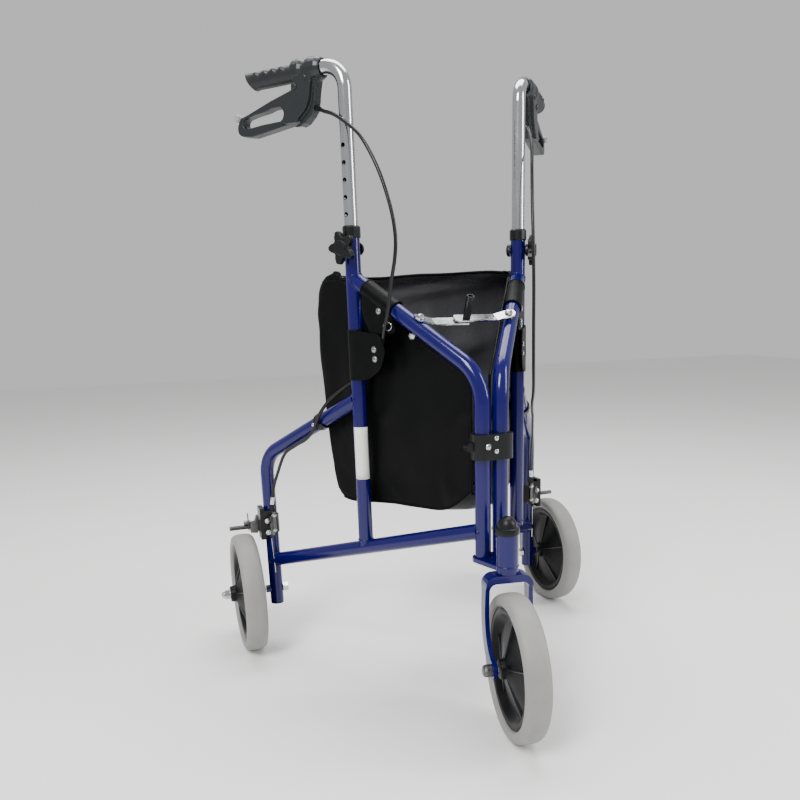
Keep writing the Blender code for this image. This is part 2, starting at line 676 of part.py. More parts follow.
def brake_bracket(name, side):
    """Clamp band round the leg, the brake's body, its pivot pin and the cable stop."""
    leg = place(side, LEG_U, 0)
    corners = [(0.0116, -0.0150), (0.0195, 0.0135)]
    (x0, y0), (x1, y1) = corners
    xs = sorted((side * x0, side * x1))
    body = box("brake_bracket_" + name, leg + Vector((xs[0], y0, 0.1920)),
               leg + Vector((xs[1], y1, 0.2450)), BLACK)
    xs = sorted((side * -0.0070, side * 0.0185))
    face = box("brake_face_" + name, leg + Vector((xs[0], -0.0158, 0.1980)),
               leg + Vector((xs[1], -0.0105, 0.2410)), None, cutter=True)
    band = cylinder("brake_band_" + name, leg + Vector((0, 0, 0.2010)), leg + Vector((0, 0, 0.2320)),
                    0.0134, None, cutter=True)
    pin = cylinder("brake_pin_" + name, leg + Vector((side * 0.0160, 0.0100, 0.2200)),
                   leg + Vector((side * 0.0160, 0.0315, 0.2200)), 0.0028, None, cutter=True, sides=12)
    stop_u, stop_z, stop_off = CABLE_STOP
    low = place(side, stop_u, stop_z - 0.0150, stop_off)
    stop = cylinder("cable_stop_" + name, low, low + Vector((0, 0, 0.0138)), 0.0042, None, cutter=True,
                    sides=12)
    obj = join(body, face, band, pin, stop)
    boolean(obj, round_cutter("brake_leg_cut_" + name, leg + Vector((0, 0, 0.15)),
                              leg + Vector((0, 0, 0.30)), TUBE_R))
    return smooth(as_mesh(obj))


def brake_arm(name, side):
    """Arm on the pivot pin, with the rod that bears on the tyre's tread, its nut and its spring."""
    leg = place(side, LEG_U, 0)
    outline = [(0.0105, 0.2245), (0.0160, 0.2268), (0.0215, 0.2250), (0.0245, 0.2160),
               (0.0325, 0.2145), (0.0325, 0.1975), (0.0215, 0.1960), (0.0125, 0.2110)]
    hole = circle(0.0160, 0.2200, 0.0032, 12)
    upright_plane = Matrix.Translation(leg + Vector((0, 0.0225, 0))) @ Matrix.Rotation(math.pi / 2, 4, "X")
    mirrored = [[(side * x, z) for x, z in loop] for loop in (outline, hole)]
    obj = flat("brake_arm_" + name, mirrored, 0.0110, BLACK, upright_plane)
    rod = cylinder("brake_rod_" + name, leg + Vector((side * 0.0220, 0.0290, 0.2055)),
                   leg + Vector((side * 0.0660, 0.0290, 0.2055)), 0.0038, None, cutter=True, sides=12)
    xs = sorted((side * 0.0338, side * 0.0352))
    spring = box("brake_spring_" + name, leg + Vector((xs[0], 0.0235, 0.2000)),
                 leg + Vector((xs[1], 0.0335, 0.2290)), None, cutter=True)
    nut = hexagon("brake_nut_" + name, leg + Vector((side * 0.0300, 0.0285, 0.2130)),
                  leg + Vector((side * 0.0420, 0.0285, 0.2130)), 0.0042, None)
    return smooth(join(obj, rod, spring, nut))


# ---------------------------------------------------------------- caster head
def caster_head():
    """Head tube, base plate, web and the two pins that the front tubes turn on."""
    axis = Vector((0.0, HEAD_Y, 0.0))
    obj = cylinder("caster_head", axis + Vector((0, 0, 0.2220)), axis + Vector((0, 0, 0.2720)),
                   HEAD_R, BLUE)
    tubes = [(side * HALF_SPACING, HINGE_Y) for side in (-1, 1)]
    outline = arc(*tubes[1], 0.0150, 75, -25, 6) + arc(0, HEAD_Y, 0.0135, -20, -160, 7) \
        + arc(*tubes[0], 0.0150, 205, 105, 6)
    low, high = PLATE_Z
    plate = flat("base_plate", [outline], high - low, None,
                 Matrix.Translation((0, 0, (low + high) / 2)), cutter=True)
    web = box("head_web", (-0.003, HEAD_Y + 0.008, low + 0.001), (0.003, HINGE_Y - 0.0125, 0.2620),
              None, cutter=True)
    extras = [plate, web]
    for side in (-1, 1):
        foot = Vector((side * HALF_SPACING, HINGE_Y, 0.0))
        extras.append(cylinder(f"hinge_pin_{side}", foot + Vector((0, 0, low + 0.001)),
                               foot + Vector((0, 0, 0.2600)), 0.0090, None, cutter=True, sides=16))
        extras.append(hexagon(f"hinge_bolt_{side}", foot + Vector((0, 0, low - 0.0022)),
                              foot + Vector((0, 0, low + 0.001)), 0.0065, None))
    obj = join(obj, *extras)
    boolean(obj, cylinder("stem_bore", axis + Vector((0, 0, 0.20)), axis + Vector((0, 0, 0.30)),
                          0.0066, None, cutter=True))
    return smooth(as_mesh(obj))


def head_cap():
    foot = 0.2723
    profile = [(0.0, 0.2965), (0.0060, 0.2957), (0.0110, 0.2925), (0.0145, 0.2870),
               (0.0160, 0.2800), (0.0163, foot), (0.0118, foot), (0.0118, 0.2865), (0.0, 0.2865)]
    return smooth(turned("head_cap", profile, BLACK, Matrix.Translation((0, HEAD_Y, 0))))


def stem_nut():
    profile = [(0.0076, 0.2795), (0.0105, 0.2795), (0.0110, 0.2785), (0.0110, 0.2726),
               (0.0076, 0.2726)]
    return smooth(turned("stem_nut", profile, STEEL, Matrix.Translation((0, HEAD_Y, 0)), steps=6,
                         closed=True))


def caster_matrix():
    return Matrix.Translation((0, HEAD_Y, 0)) @ Matrix.Rotation(CASTER_YAW, 4, "Z")


def fork_front():
    """Fork seen from the front: a crown on two legs."""
    top, inner = CROWN_TOP, CROWN_TOP - 0.0105
    outer_arc = arc(0.0178, top - 0.0150, 0.0150, 90, 5, 6)
    inner_arc = arc(0.0190, inner - 0.0080, 0.0080, 5, 90, 5)
    right = outer_arc + [(0.0338, 0.1700), (0.0344, 0.0850), (0.0282, 0.0850), (0.0276, 0.1700)] \
        + inner_arc
    left = [(-x, z) for x, z in reversed(right)]
    return right + left


def fork_side():
    """Fork seen from the side: the legs curve forward to the axle's eye."""
    lead, eye = -CASTER_LEAD, 0.0125
    front, rear = [], []
    for i in range(9):
        t = i / 8
        y = 2 * t * (1 - t) * 0.002 + t * t * lead
        z = (1 - t) ** 2 * 0.1750 + 2 * t * (1 - t) * 0.1180 + t * t * WHEEL_Z
        dy = 2 * (1 - 2 * t) * 0.002 + 2 * t * lead
        dz = -2 * (1 - t) * 0.1750 + 2 * (1 - 2 * t) * 0.1180 + 2 * t * WHEEL_Z
        length = math.hypot(dy, dz)
        half = 0.0092
        front.append((y + dz / length * half, z - dy / length * half))
        rear.append((y - dz / length * half, z + dy / length * half))
    tip = arc(lead, WHEEL_Z, eye, 300, 130, 9)
    crown = [(0.0098, 0.1980), (0.0125, 0.2040), (0.0125, 0.2200), (-0.0125, 0.2200),
             (-0.0125, 0.2040), (-0.0098, 0.1980)]
    return crown + front[:-1] + list(reversed(tip)) + list(reversed(rear[:-1]))


def fork():
    base = caster_matrix()
    upright_plane = base @ Matrix.Rotation(math.pi / 2, 4, "X")
    obj = flat("caster_fork", [fork_front()], 0.16, BLUE, upright_plane)
    side_plane = base @ Matrix(((0, 0, 1, 0), (1, 0, 0, 0), (0, 1, 0, 0), (0, 0, 0, 1)))
    profile = flat("fork_side", [fork_side()], 0.12, None, side_plane, cutter=True)
    boolean(obj, profile, "INTERSECT")
    axis = Vector((0.0, HEAD_Y, 0.0))
    stem = cylinder("fork_stem", axis + Vector((0, 0, 0.2100)), axis + Vector((0, 0, 0.2800)), 0.0061,
                    None, cutter=True, sides=16)
    race = cylinder("fork_race", axis + Vector((0, 0, 0.2150)), axis + Vector((0, 0, 0.2215)), 0.0115,
                    None, cutter=True)
    obj = join(obj, stem, race)
    eye = base @ Vector((-0.06, -CASTER_LEAD, WHEEL_Z)), base @ Vector((0.06, -CASTER_LEAD, WHEEL_Z))
    boolean(obj, cylinder("fork_eye", *eye, AXLE_R + GAP, None, cutter=True, sides=16))
    return smooth(as_mesh(obj))


def front_axle():
    base = caster_matrix()
    ends = [base @ Vector((x, -CASTER_LEAD, WHEEL_Z)) for x in (-0.0418, 0.0418)]
    smooth(cylinder("front_axle", *ends, AXLE_R, STEEL, sides=16))
    for name, side in SIDES:
        start = base @ Vector((side * 0.0347, -CASTER_LEAD, WHEEL_Z))
        along = (base.to_3x3() @ Vector((side, 0, 0)))
        profile = [(0.0, 0.0115), (0.0055, 0.0112), (0.0078, 0.0098), (0.0085, 0.0070),
                   (0.0085, 0.0), (AXLE_R + GAP, 0.0), (AXLE_R + GAP, 0.0078), (0.0, 0.0078)]
        smooth(turned("axle_cap_" + name, profile, BLACK, axis_matrix(start, along)))


def frame_clamp():
    """Plastic clamp that holds both front tubes side by side at mid height, and its bolt."""
    low, high, deep, wide = 0.3655, 0.3995, 0.0168, 0.0292
    corner = 0.0135
    outline = arc(wide - corner, deep - corner, corner, 90, 0, 6) \
        + arc(wide - corner, corner - deep, corner, 0, -90, 6) \
        + arc(corner - wide, corner - deep, corner, -90, -180, 6) \
        + arc(corner - wide, deep - corner, corner, 180, 90, 6)
    place_at = Matrix.Translation((0, HINGE_Y, (low + high) / 2))
    obj = flat("frame_clamp", [outline], high - low, BLACK, place_at)
    tab_start = Vector((-0.0325, HINGE_Y - 0.0060, 0.3825))
    obj = join(obj, cylinder("clamp_tab", tab_start, tab_start + Vector((0, 0.0120, 0)), 0.0062, None,
                             cutter=True))
    for side in (-1, 1):
        foot = Vector((side * HALF_SPACING, HINGE_Y, 0))
        boolean(obj, round_cutter(f"clamp_bore_{side}", foot + Vector((0, 0, 0.3)),
                                  foot + Vector((0, 0, 0.5)), TUBE_R))
    spot = Vector((-0.0125, HINGE_Y, 0.3840))
    boolean(obj, cylinder("clamp_bolt_hole", spot + Vector((0, -0.03, 0)), spot, 0.0033, None,
                          cutter=True, sides=12))
    smooth(as_mesh(obj))
    profile = [(0.0, 0.0203), (0.0028, 0.0198), (0.0042, 0.0187), (0.0044, deep + GAP),
               (0.0030, deep + GAP), (0.0030, 0.0125), (0.0, 0.0125)]
    smooth(turned("clamp_bolt", profile, STEEL, axis_matrix(spot, (0, -1, 0)), steps=12))


# ---------------------------------------------------------------- folding link
def link_hinge(side):
    return place(side, LINK_U, upper_axis_z(LINK_U)) + upper_normal(side) * LINK_H[side]


def strip(name, stations, look):
    """A flat bar: an open strip through (point, width direction, half width), with thickness."""
    bm = bmesh.new()
    rows = [(bm.verts.new(p - w * h), bm.verts.new(p + w * h)) for p, w, h in stations]
    for (a, b), (c, d) in zip(rows, rows[1:]):
        bm.faces.new((a, c, d, b))
    data = bpy.data.meshes.new(name)
    bm.to_mesh(data)
    bm.free()
    obj = add_object(name, data, look)
    thick = obj.modifiers.new("thickness", "SOLIDIFY")
    thick.thickness = LINK_T
    thick.offset = 0.0
    thick.use_even_offset = True
    return as_mesh(obj)


def link_bar(name, side):
    """Link bar: an eye square to the upper tube, a bend, and a run to the middle of the walker."""
    hinge, normal = link_hinge(side), upper_normal(side)
    inward = Vector((-side, 0.0, 0.0))
    first = (inward - normal * inward.dot(normal)).normalized()
    width_a = first.cross(normal).normalized()
    middle = Vector((0.0, -math.sin(LINK_TILT), math.cos(LINK_TILT)))
    width_b = inward.cross(middle).normalized()
    knee = hinge + first * 0.020
    half = LINK_W / 2
    end = Vector((LINK_END[side], knee.y, knee.z))
    stations = [(hinge - first * 0.0090, width_a, half * 0.45), (hinge - first * 0.0055, width_a, half),
                (knee, (width_a + width_b).normalized(), half), (end - inward * 0.003, width_b, half),
                (end, width_b, half * 0.6)]
    obj = strip("link_bar_" + name, stations, CHROME)
    boolean(obj, cylinder("link_eye_" + name, hinge - normal * 0.01, hinge + normal * 0.01, 0.0034,
                          None, cutter=True, sides=12))
    return smooth(as_mesh(obj), 25)


def link_knee(side):
    """Where a bar bends, which is also how far back and how high its middle run lies."""
    normal = upper_normal(side)
    inward = Vector((-side, 0.0, 0.0))
    return link_hinge(side) + (inward - normal * inward.dot(normal)).normalized() * 0.020


def link_peg():
    """Hollow plastic finger peg on the upper bar, which is pulled up to fold the walker."""
    knee = link_knee(1)
    foot = LINK_T / 2 + GAP
    profile = [(0.0, foot + 0.006), (0.0036, foot + 0.006), (0.0036, foot + 0.0320),
               (0.0052, foot + 0.0320), (0.0057, foot + 0.0308), (0.0054, foot), (0.0, foot)]
    middle = Vector((0.0, -math.sin(LINK_TILT), math.cos(LINK_TILT)))
    return smooth(turned("link_peg", profile, BLACK, axis_matrix((0.0015, knee.y, knee.z), middle)))


def link_bolt(name, side):
    centre = place(side, LINK_U, upper_axis_z(LINK_U))
    top, low = LINK_H[side] + LINK_T / 2 + GAP, -TUBE_R - GAP
    profile = [(0.0, top + 0.0048), (0.0030, top + 0.0044), (0.0051, top + 0.0027),
               (0.0058, top + 0.0005), (0.0058, top), (0.0030, top), (0.0030, low),
               (0.0058, low), (0.0058, low - 0.0050), (0.0040, low - 0.0075), (0.0, low - 0.0085)]
    return smooth(turned("link_bolt_" + name, profile, STEEL, axis_matrix(centre, upper_normal(side)),
                         steps=12))


# ---------------------------------------------------------------- tote bag
def bag_point(side, u, z):
    return place(side, u, z, -BAG_OFF)


BAG_REAR = ((0.2790, 0.2780), (0.2960, 0.3330), (0.3060, 0.4260), (0.3075, 0.5320),
            (0.3035, 0.5760), (0.2880, 0.6060))     # rear edge of a side panel, from the floor up
BAG_STATIONS = ((0.0300, 0.3130), (0.0700, 0.2840), (0.1200, 0.2800), (0.1670, 0.2800),
                (0.2130, 0.2770), (0.2480, 0.2740))  # behind the front tube, and its floor there


def bag_top(u):
    """Top edge: under the upper tube in front, level behind the upright."""
    rise = upper_axis_z(min(u, UPRIGHT_U)) - 0.021
    return min(rise + max(0.0, u - UPRIGHT_U) * 0.85, 0.6130)


def bag_column(u, floor):
    """Points up a side panel, at the same shares of its height as the rear edge's."""
    low, high = BAG_REAR[0][1], BAG_REAR[-1][1]
    return [(u, floor + (bag_top(u) - floor) * (z - low) / (high - low)) for _, z in BAG_REAR]


def bag():
    """Open-topped tote: two side panels, a rear panel and a bottom."""
    panel = [bag_column(u, floor) for u, floor in BAG_STATIONS] + [list(BAG_REAR)]
    around = [(-1, column) for column in panel] + [(1, column) for column in reversed(panel)]
    bm = bmesh.new()
    grid = [[bm.verts.new(bag_point(side, u, z)) for u, z in column] for side, column in around]
    count, rows = len(grid), len(BAG_REAR)
    for i in range(count):
        here, there = grid[i], grid[(i + 1) % count]
        for row in range(rows - 1):
            bm.faces.new((here[row], here[row + 1], there[row + 1], there[row]))
    for i in range(len(panel) - 1):
        bm.faces.new((grid[i][0], grid[i + 1][0], grid[count - 2 - i][0], grid[count - 1 - i][0]))
    bmesh.ops.recalc_face_normals(bm, faces=bm.faces)
    data = bpy.data.meshes.new("bag")
    bm.to_mesh(data)
    bm.free()
    obj = add_object("bag", data, VINYL)
    thick = obj.modifiers.new("thickness", "SOLIDIFY")
    thick.thickness = BAG_T
    thick.offset = -1.0
    thick.use_even_offset = True
    return smooth(as_mesh(obj), 50)


# ---------------------------------------------------------------- build
for side_name, side_sign in SIDES:
    front_tube(side_name, side_sign)
    upright(side_name, side_sign)
    lower_tube(side_name, side_sign)
    rear_leg(side_name, side_sign)
    collar(side_name, side_sign)
    knob(side_name, side_sign)
    knob_nut(side_name, side_sign)
    handle_tube(side_name, side_sign)
    grip(side_name, side_sign)
    brake_housing(side_name, side_sign)
    brake_lever(side_name, side_sign)
    lever_pin(side_name, side_sign)
    brake_cable(side_name, side_sign)
    cable_clip(side_name, side_sign)
    bag_sleeve(side_name, side_sign)
    rear_centre = Vector((side_sign * REAR_TRACK, place(side_sign, LEG_U, 0).y, WHEEL_Z))
    hub = (HUB_OUTER, HUB_INNER) if side_sign > 0 else (HUB_INNER, HUB_OUTER)
    wheel("rear_" + side_name, wheel_matrix(rear_centre), *hub)
    tyre("rear_" + side_name, wheel_matrix(rear_centre))
    rear_axle(side_name, side_sign)
    brake_bracket(side_name, side_sign)
    brake_arm(side_name, side_sign)
    link_bar(side_name, side_sign)
    link_bolt(side_name, side_sign)

front_centre = caster_matrix() @ Vector((0, -CASTER_LEAD, WHEEL_Z))
wheel("front", wheel_matrix(front_centre, CASTER_YAW), FRONT_HUB, FRONT_HUB)
tyre("front", wheel_matrix(front_centre, CASTER_YAW))
caster_head()
head_cap()
stem_nut()
fork()
front_axle()
frame_clamp()
link_peg()
bag()
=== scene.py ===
"""Looks for the three-wheeled folding walker: painted tubes, chrome handles, moulded brakes, solid
tyres and a soft tote bag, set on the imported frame.

Units are metres. A side frame's plane is given by u, the distance behind its front tube, and off,
the distance outboard of the plane. A handle's plane is given by s, the distance behind the upright.
"""

import math

import bmesh
import bpy
from mathutils import Matrix, Vector, noise


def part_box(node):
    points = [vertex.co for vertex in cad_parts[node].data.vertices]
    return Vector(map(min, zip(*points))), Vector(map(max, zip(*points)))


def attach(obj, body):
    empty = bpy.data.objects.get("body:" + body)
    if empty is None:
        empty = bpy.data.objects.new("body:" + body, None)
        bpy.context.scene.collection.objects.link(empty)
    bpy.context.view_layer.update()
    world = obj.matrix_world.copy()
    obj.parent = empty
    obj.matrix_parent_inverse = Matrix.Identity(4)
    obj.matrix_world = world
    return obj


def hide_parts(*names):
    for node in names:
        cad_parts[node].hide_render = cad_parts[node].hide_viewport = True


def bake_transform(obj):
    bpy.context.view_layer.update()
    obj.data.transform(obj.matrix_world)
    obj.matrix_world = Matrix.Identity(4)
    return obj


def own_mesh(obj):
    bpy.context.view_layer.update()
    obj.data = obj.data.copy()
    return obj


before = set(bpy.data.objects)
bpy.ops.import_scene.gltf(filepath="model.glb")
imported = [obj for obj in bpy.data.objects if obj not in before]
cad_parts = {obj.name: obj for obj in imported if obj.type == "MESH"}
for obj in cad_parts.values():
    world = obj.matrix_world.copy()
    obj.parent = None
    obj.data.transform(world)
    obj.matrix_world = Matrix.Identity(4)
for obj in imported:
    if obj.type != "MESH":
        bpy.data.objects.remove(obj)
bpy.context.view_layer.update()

# ---------------------------------------------------------------- camera
CAMERA_AT = Vector((-0.4353, -1.0590, 0.5591))
AZIMUTH, ELEVATION, ROLL = (math.radians(a) for a in (-21.68, 15.34, -1.08))
LENS, SENSOR = 34.785, 36.0
SHIFT = (-0.0575, 0.15125)


def make_camera():
    back = Vector((math.sin(AZIMUTH) * math.cos(ELEVATION), -math.cos(AZIMUTH) * math.cos(ELEVATION),
                   math.sin(ELEVATION)))
    right = Vector((math.cos(AZIMUTH), math.sin(AZIMUTH), 0.0))
    up = back.cross(right)
    turn = Matrix((right * math.cos(ROLL) + up * math.sin(ROLL),
                   up * math.cos(ROLL) - right * math.sin(ROLL), back)).transposed().to_4x4()
    data = bpy.data.cameras.new("camera")
    data.lens, data.sensor_width = LENS, SENSOR
    data.shift_x, data.shift_y = SHIFT
    data.clip_start = 0.05
    obj = bpy.data.objects.new("camera", data)
    obj.matrix_world = Matrix.Translation(CAMERA_AT) @ turn
    bpy.context.scene.collection.objects.link(obj)
    bpy.context.scene.camera = obj


make_camera()

# ---------------------------------------------------------------- the walker's own measures
HINGE_Y = -0.1331
HALF_SPACING = 0.013
SPREAD = math.radians(33.0)
HANDLE_YAW = math.radians(38.0)
TUBE_R = 0.011
UPRIGHT_U, LEG_U = 0.213, 0.424
FRONT_BOTTOM, CORNER_Z, UPPER_JOIN_Z = 0.2290, 0.474, 0.603
LOWER_Z, LOWER_DROP = 0.2656, -0.2715
LEG_JOIN_Z, LEG_CORNER_Z, LEG_BOTTOM = 0.435, 0.3305, 0.0735
UPRIGHT_TOP = 0.668
HOLE_Z, HOLE_PITCH, HOLE_R = 0.6425, 0.0218, 0.0034
HANDLE_R, HANDLE_Z, HANDLE_BEND = 0.0095, 0.873, 0.030
HANDLE_END, GRIP_START, GRIP_END = 0.1530, 0.0806, 0.1611
HOUSING_HALF = 0.0135
WHEEL_Z, REAR_TRACK = 0.0995, 0.2915
HEAD_Y = HINGE_Y - 0.0485
CASTER_LEAD, CASTER_YAW = 0.041, math.radians(-9.0)
BAG_OFF = 0.0175
UPPER_TILT = math.atan2(UPPER_JOIN_Z - CORNER_Z, UPRIGHT_U)
SIDES = (("left", -1), ("right", 1))


def place(side, u, z, off=0.0):
    return Vector((side * (HALF_SPACING + u * math.sin(SPREAD) + off * math.cos(SPREAD)),
                   HINGE_Y + u * math.cos(SPREAD) - off * math.sin(SPREAD), z))


def outward(side):
    return Vector((side * math.cos(SPREAD), -math.sin(SPREAD), 0.0))


def rearward(side):
    return Vector((side * math.sin(SPREAD), math.cos(SPREAD), 0.0))


def upper_z(u):
    return CORNER_Z + u * math.tan(UPPER_TILT)


def leg_z(u):
    return LEG_JOIN_Z + (LEG_CORNER_Z - LEG_JOIN_Z) * (u - UPRIGHT_U) / (LEG_U - UPRIGHT_U)


def handle_matrix(side):
    """Local X along the handle, local Y up, local Z across it."""
    along = Vector((side * math.sin(HANDLE_YAW), math.cos(HANDLE_YAW), 0.0))
    up = Vector((0.0, 0.0, 1.0))
    turn = Matrix((along, up, along.cross(up))).transposed().to_4x4()
    return Matrix.Translation(place(side, UPRIGHT_U, HANDLE_Z)) @ turn


def axis_matrix(origin, direction):
    """Local Z along direction."""
    turn = Vector(direction).normalized().to_track_quat("Z", "Y").to_matrix().to_4x4()
    return Matrix.Translation(Vector(origin)) @ turn


# ---------------------------------------------------------------- materials
def surface(name, colour, rough, metal=0.0, mottle=0.15, mottle_scale=14.0, spread=0.06,
            bumps=(), dust=None, specular=0.5):
    """A Principled material with mottled colour, uneven roughness and layers of bump."""
    made = bpy.data.materials.new(name)
    made.use_nodes = True
    nodes, links = made.node_tree.nodes, made.node_tree.links
    shader = nodes["Principled BSDF"]
    shader.inputs["Metallic"].default_value = metal
    shader.inputs["Specular IOR Level"].default_value = specular
    coord = nodes.new("ShaderNodeTexCoord")

    def texture(kind, scale, detail=4.0):
        node = nodes.new(kind)
        node.inputs["Scale"].default_value = scale
        if "Detail" in node.inputs:
            node.inputs["Detail"].default_value = detail
        links.new(coord.outputs["Object"], node.inputs["Vector"])
        return node

    tint = texture("ShaderNodeTexNoise", mottle_scale)
    mix = nodes.new("ShaderNodeMix")
    mix.data_type = "RGBA"
    mix.inputs["A"].default_value = (*[c * (1 - mottle) for c in colour], 1.0)
    mix.inputs["B"].default_value = (*[min(1.0, c * (1 + mottle)) for c in colour], 1.0)
    links.new(tint.outputs["Fac"], mix.inputs["Factor"])
    colour_out = mix.outputs["Result"]
    if dust:
        dust_colour, dust_scale, dust_share = dust
        grime = texture("ShaderNodeTexNoise", dust_scale, 6.0)
        ramp = nodes.new("ShaderNodeMapRange")
        ramp.inputs["From Min"].default_value = 0.52
        ramp.inputs["From Max"].default_value = 0.75
        ramp.inputs["To Max"].default_value = dust_share
        links.new(grime.outputs["Fac"], ramp.inputs["Value"])
        over = nodes.new("ShaderNodeMix")
        over.data_type = "RGBA"
        over.inputs["B"].default_value = (*dust_colour, 1.0)
        links.new(ramp.outputs["Result"], over.inputs["Factor"])
        links.new(colour_out, over.inputs["A"])
        colour_out = over.outputs["Result"]
    links.new(colour_out, shader.inputs["Base Color"])
    uneven = texture("ShaderNodeTexNoise", mottle_scale * 2.3)
    gloss = nodes.new("ShaderNodeMapRange")
    gloss.inputs["From Min"].default_value = 0.3
    gloss.inputs["From Max"].default_value = 0.7
    gloss.inputs["To Min"].default_value = max(0.02, rough - spread)
    gloss.inputs["To Max"].default_value = rough + spread
    links.new(uneven.outputs["Fac"], gloss.inputs["Value"])
    links.new(gloss.outputs["Result"], shader.inputs["Roughness"])
    normal = None
    for kind, scale, strength, depth in bumps:
        if kind == "grain":
            layer = texture("ShaderNodeTexVoronoi", scale).outputs["Distance"]
        else:
            layer = texture("ShaderNodeTexNoise", scale, 5.0).outputs["Fac"]
        bump = nodes.new("ShaderNodeBump")
        bump.inputs["Strength"].default_value = strength
        bump.inputs["Distance"].default_value = depth
        links.new(layer, bump.inputs["Height"])
        if normal:
            links.new(normal, bump.inputs["Normal"])
        normal = bump.outputs["Normal"]
    if normal:
        links.new(normal, shader.inputs["Normal"])
    return made


PAINT = surface("blue_paint", (0.0030, 0.0012, 0.078), 0.15, specular=0.38, mottle=0.10, spread=0.04,
                bumps=[("noise", 900, 0.08, 0.0003), ("noise", 60, 0.05, 0.0006)])
CHROME = surface("chrome", (0.50, 0.51, 0.52), 0.15, metal=1.0, mottle=0.06, spread=0.05,
                 bumps=[("noise", 40, 0.03, 0.0005)])
ZINC = surface("zinc", (0.62, 0.62, 0.60), 0.26, metal=1.0, mottle=0.14, mottle_scale=90, spread=0.09,
               bumps=[("noise", 700, 0.12, 0.0002)])
BLACK = surface("black_moulding", (0.0042, 0.0045, 0.0050), 0.34, specular=0.26, mottle=0.2, spread=0.07,
                bumps=[("noise", 1400, 0.12, 0.0002)], dust=((0.05, 0.05, 0.05), 60, 0.10))
GREY_BLACK = surface("brake_moulding", (0.0115, 0.0140, 0.0155), 0.38, specular=0.38, mottle=0.12,
                     spread=0.05,
                     bumps=[("noise", 1600, 0.15, 0.0002), ("noise", 90, 0.04, 0.0006)])
RUBBER = surface("grip_rubber", (0.0085, 0.0100, 0.0115), 0.44, specular=0.40, mottle=0.2, spread=0.06,
                 bumps=[("noise", 1300, 0.22, 0.0002)])
TYRE = surface("grey_tyre", (0.235, 0.232, 0.220), 0.55, mottle=0.06, mottle_scale=30, spread=0.06,
               bumps=[("noise", 700, 0.16, 0.0003)], dust=((0.16, 0.155, 0.14), 45, 0.22))
WHEEL = surface("wheel_moulding", (0.0028, 0.0030, 0.0036), 0.38, specular=0.13, mottle=0.2, spread=0.06,
                bumps=[("noise", 1100, 0.08, 0.0002)], dust=((0.06, 0.06, 0.06), 70, 0.12))
VINYL = surface("bag_vinyl", (0.0013, 0.0017, 0.0015), 0.42, specular=0.10, mottle=0.22,
                mottle_scale=25, spread=0.08,
                bumps=[("grain", 900, 0.25, 0.0004), ("noise", 45, 0.12, 0.0015)])
# The bag's inside face is the same black vinyl as its outside, painted lighter grey: a painted sheen.
SHEEN_LINING = surface("bag_inside_painted_sheen", (0.060, 0.060, 0.066), 0.30, specular=0.60, mottle=0.18,
                 mottle_scale=20, spread=0.08,
                 bumps=[("grain", 850, 0.22, 0.0004), ("noise", 28, 0.30, 0.004)])
CABLE = surface("cable_jacket", (0.0060, 0.0060, 0.0066), 0.32, specular=0.35, mottle=0.15, spread=0.05,
                bumps=[("noise", 900, 0.12, 0.0002)])
DARK_STEEL = surface("dark_steel", (0.12, 0.12, 0.12), 0.36, metal=1.0, mottle=0.35, mottle_scale=80,
                     spread=0.1, bumps=[("noise", 500, 0.2, 0.0003)])
# The ribs are the same black moulding as the disc; their lighter grey is a painted highlight.
RIB_HIGHLIGHT = surface("wheel_rib_painted_highlight", (0.016, 0.017, 0.020), 0.32, mottle=0.15, spread=0.06,
                   bumps=[("noise", 1100, 0.08, 0.0002)])
SNAP = surface("snap_steel", (0.34, 0.35, 0.35), 0.20, metal=1.0, mottle=0.2, mottle_scale=120,
               spread=0.07, bumps=[("noise", 500, 0.1, 0.0002)])
PAPER = surface("blank_label", (0.78, 0.78, 0.76), 0.45, mottle=0.03, spread=0.04,
                bumps=[("noise", 300, 0.05, 0.0002)])
PAD_GREY = surface("pad_plastic", (0.27, 0.27, 0.265), 0.42, mottle=0.06, spread=0.05,
                   bumps=[("noise", 900, 0.12, 0.0002)])
FLOOR = surface("floor", (0.86, 0.86, 0.85), 0.6, mottle=0.01, mottle_scale=3, spread=0.05)


# ---------------------------------------------------------------- mesh helpers
def link_mesh(name, bm, look, angle=40.0, bevel=0.0):
    bmesh.ops.recalc_face_normals(bm, faces=bm.faces)
    data = bpy.data.meshes.new(name)
    bm.to_mesh(data)
    bm.free()
    data.shade_smooth()
    data.set_sharp_from_angle(angle=math.radians(angle))
    data.materials.append(look)
    obj = bpy.data.objects.new(name, data)
    bpy.context.scene.collection.objects.link(obj)
    if bevel:
        add_bevel(obj, bevel)
    return obj


def add_bevel(obj, width, segments=3, angle=30.0):
    mod = obj.modifiers.new("edge", "BEVEL")
    mod.width = width
    mod.segments = segments
    mod.limit_method = "ANGLE"
    mod.angle_limit = math.radians(angle)
    mod.harden_normals = False
    return obj


def apply_modifiers(obj):
    """Replace the mesh with what its modifiers make of it."""
    bpy.context.view_layer.update()
    graph = bpy.context.evaluated_depsgraph_get()
    data = bpy.data.meshes.new_from_object(obj.evaluated_get(graph))
    obj.modifiers.clear()
    obj.data = data
    return obj


def merge(name, pieces):
    """One object from several, keeping their material slots."""
    bm = bmesh.new()
    looks = []
    for piece in pieces:
        bpy.context.view_layer.update()
        graph = bpy.context.evaluated_depsgraph_get()
        data = bpy.data.meshes.new_from_object(piece.evaluated_get(graph))
        data.transform(piece.matrix_world)
        look = data.materials[0]
        if look not in looks:
            looks.append(look)
        before = len(bm.faces)
        bm.from_mesh(data)
        bm.faces.ensure_lookup_table()
        for face in bm.faces[before:]:
            face.material_index = looks.index(look)
        bpy.data.objects.remove(piece, do_unlink=True)
    data = bpy.data.meshes.new(name)
    bm.to_mesh(data)
    bm.free()
    for look in looks:
        data.materials.append(look)
    obj = bpy.data.objects.new(name, data)
    bpy.context.scene.collection.objects.link(obj)
    return obj


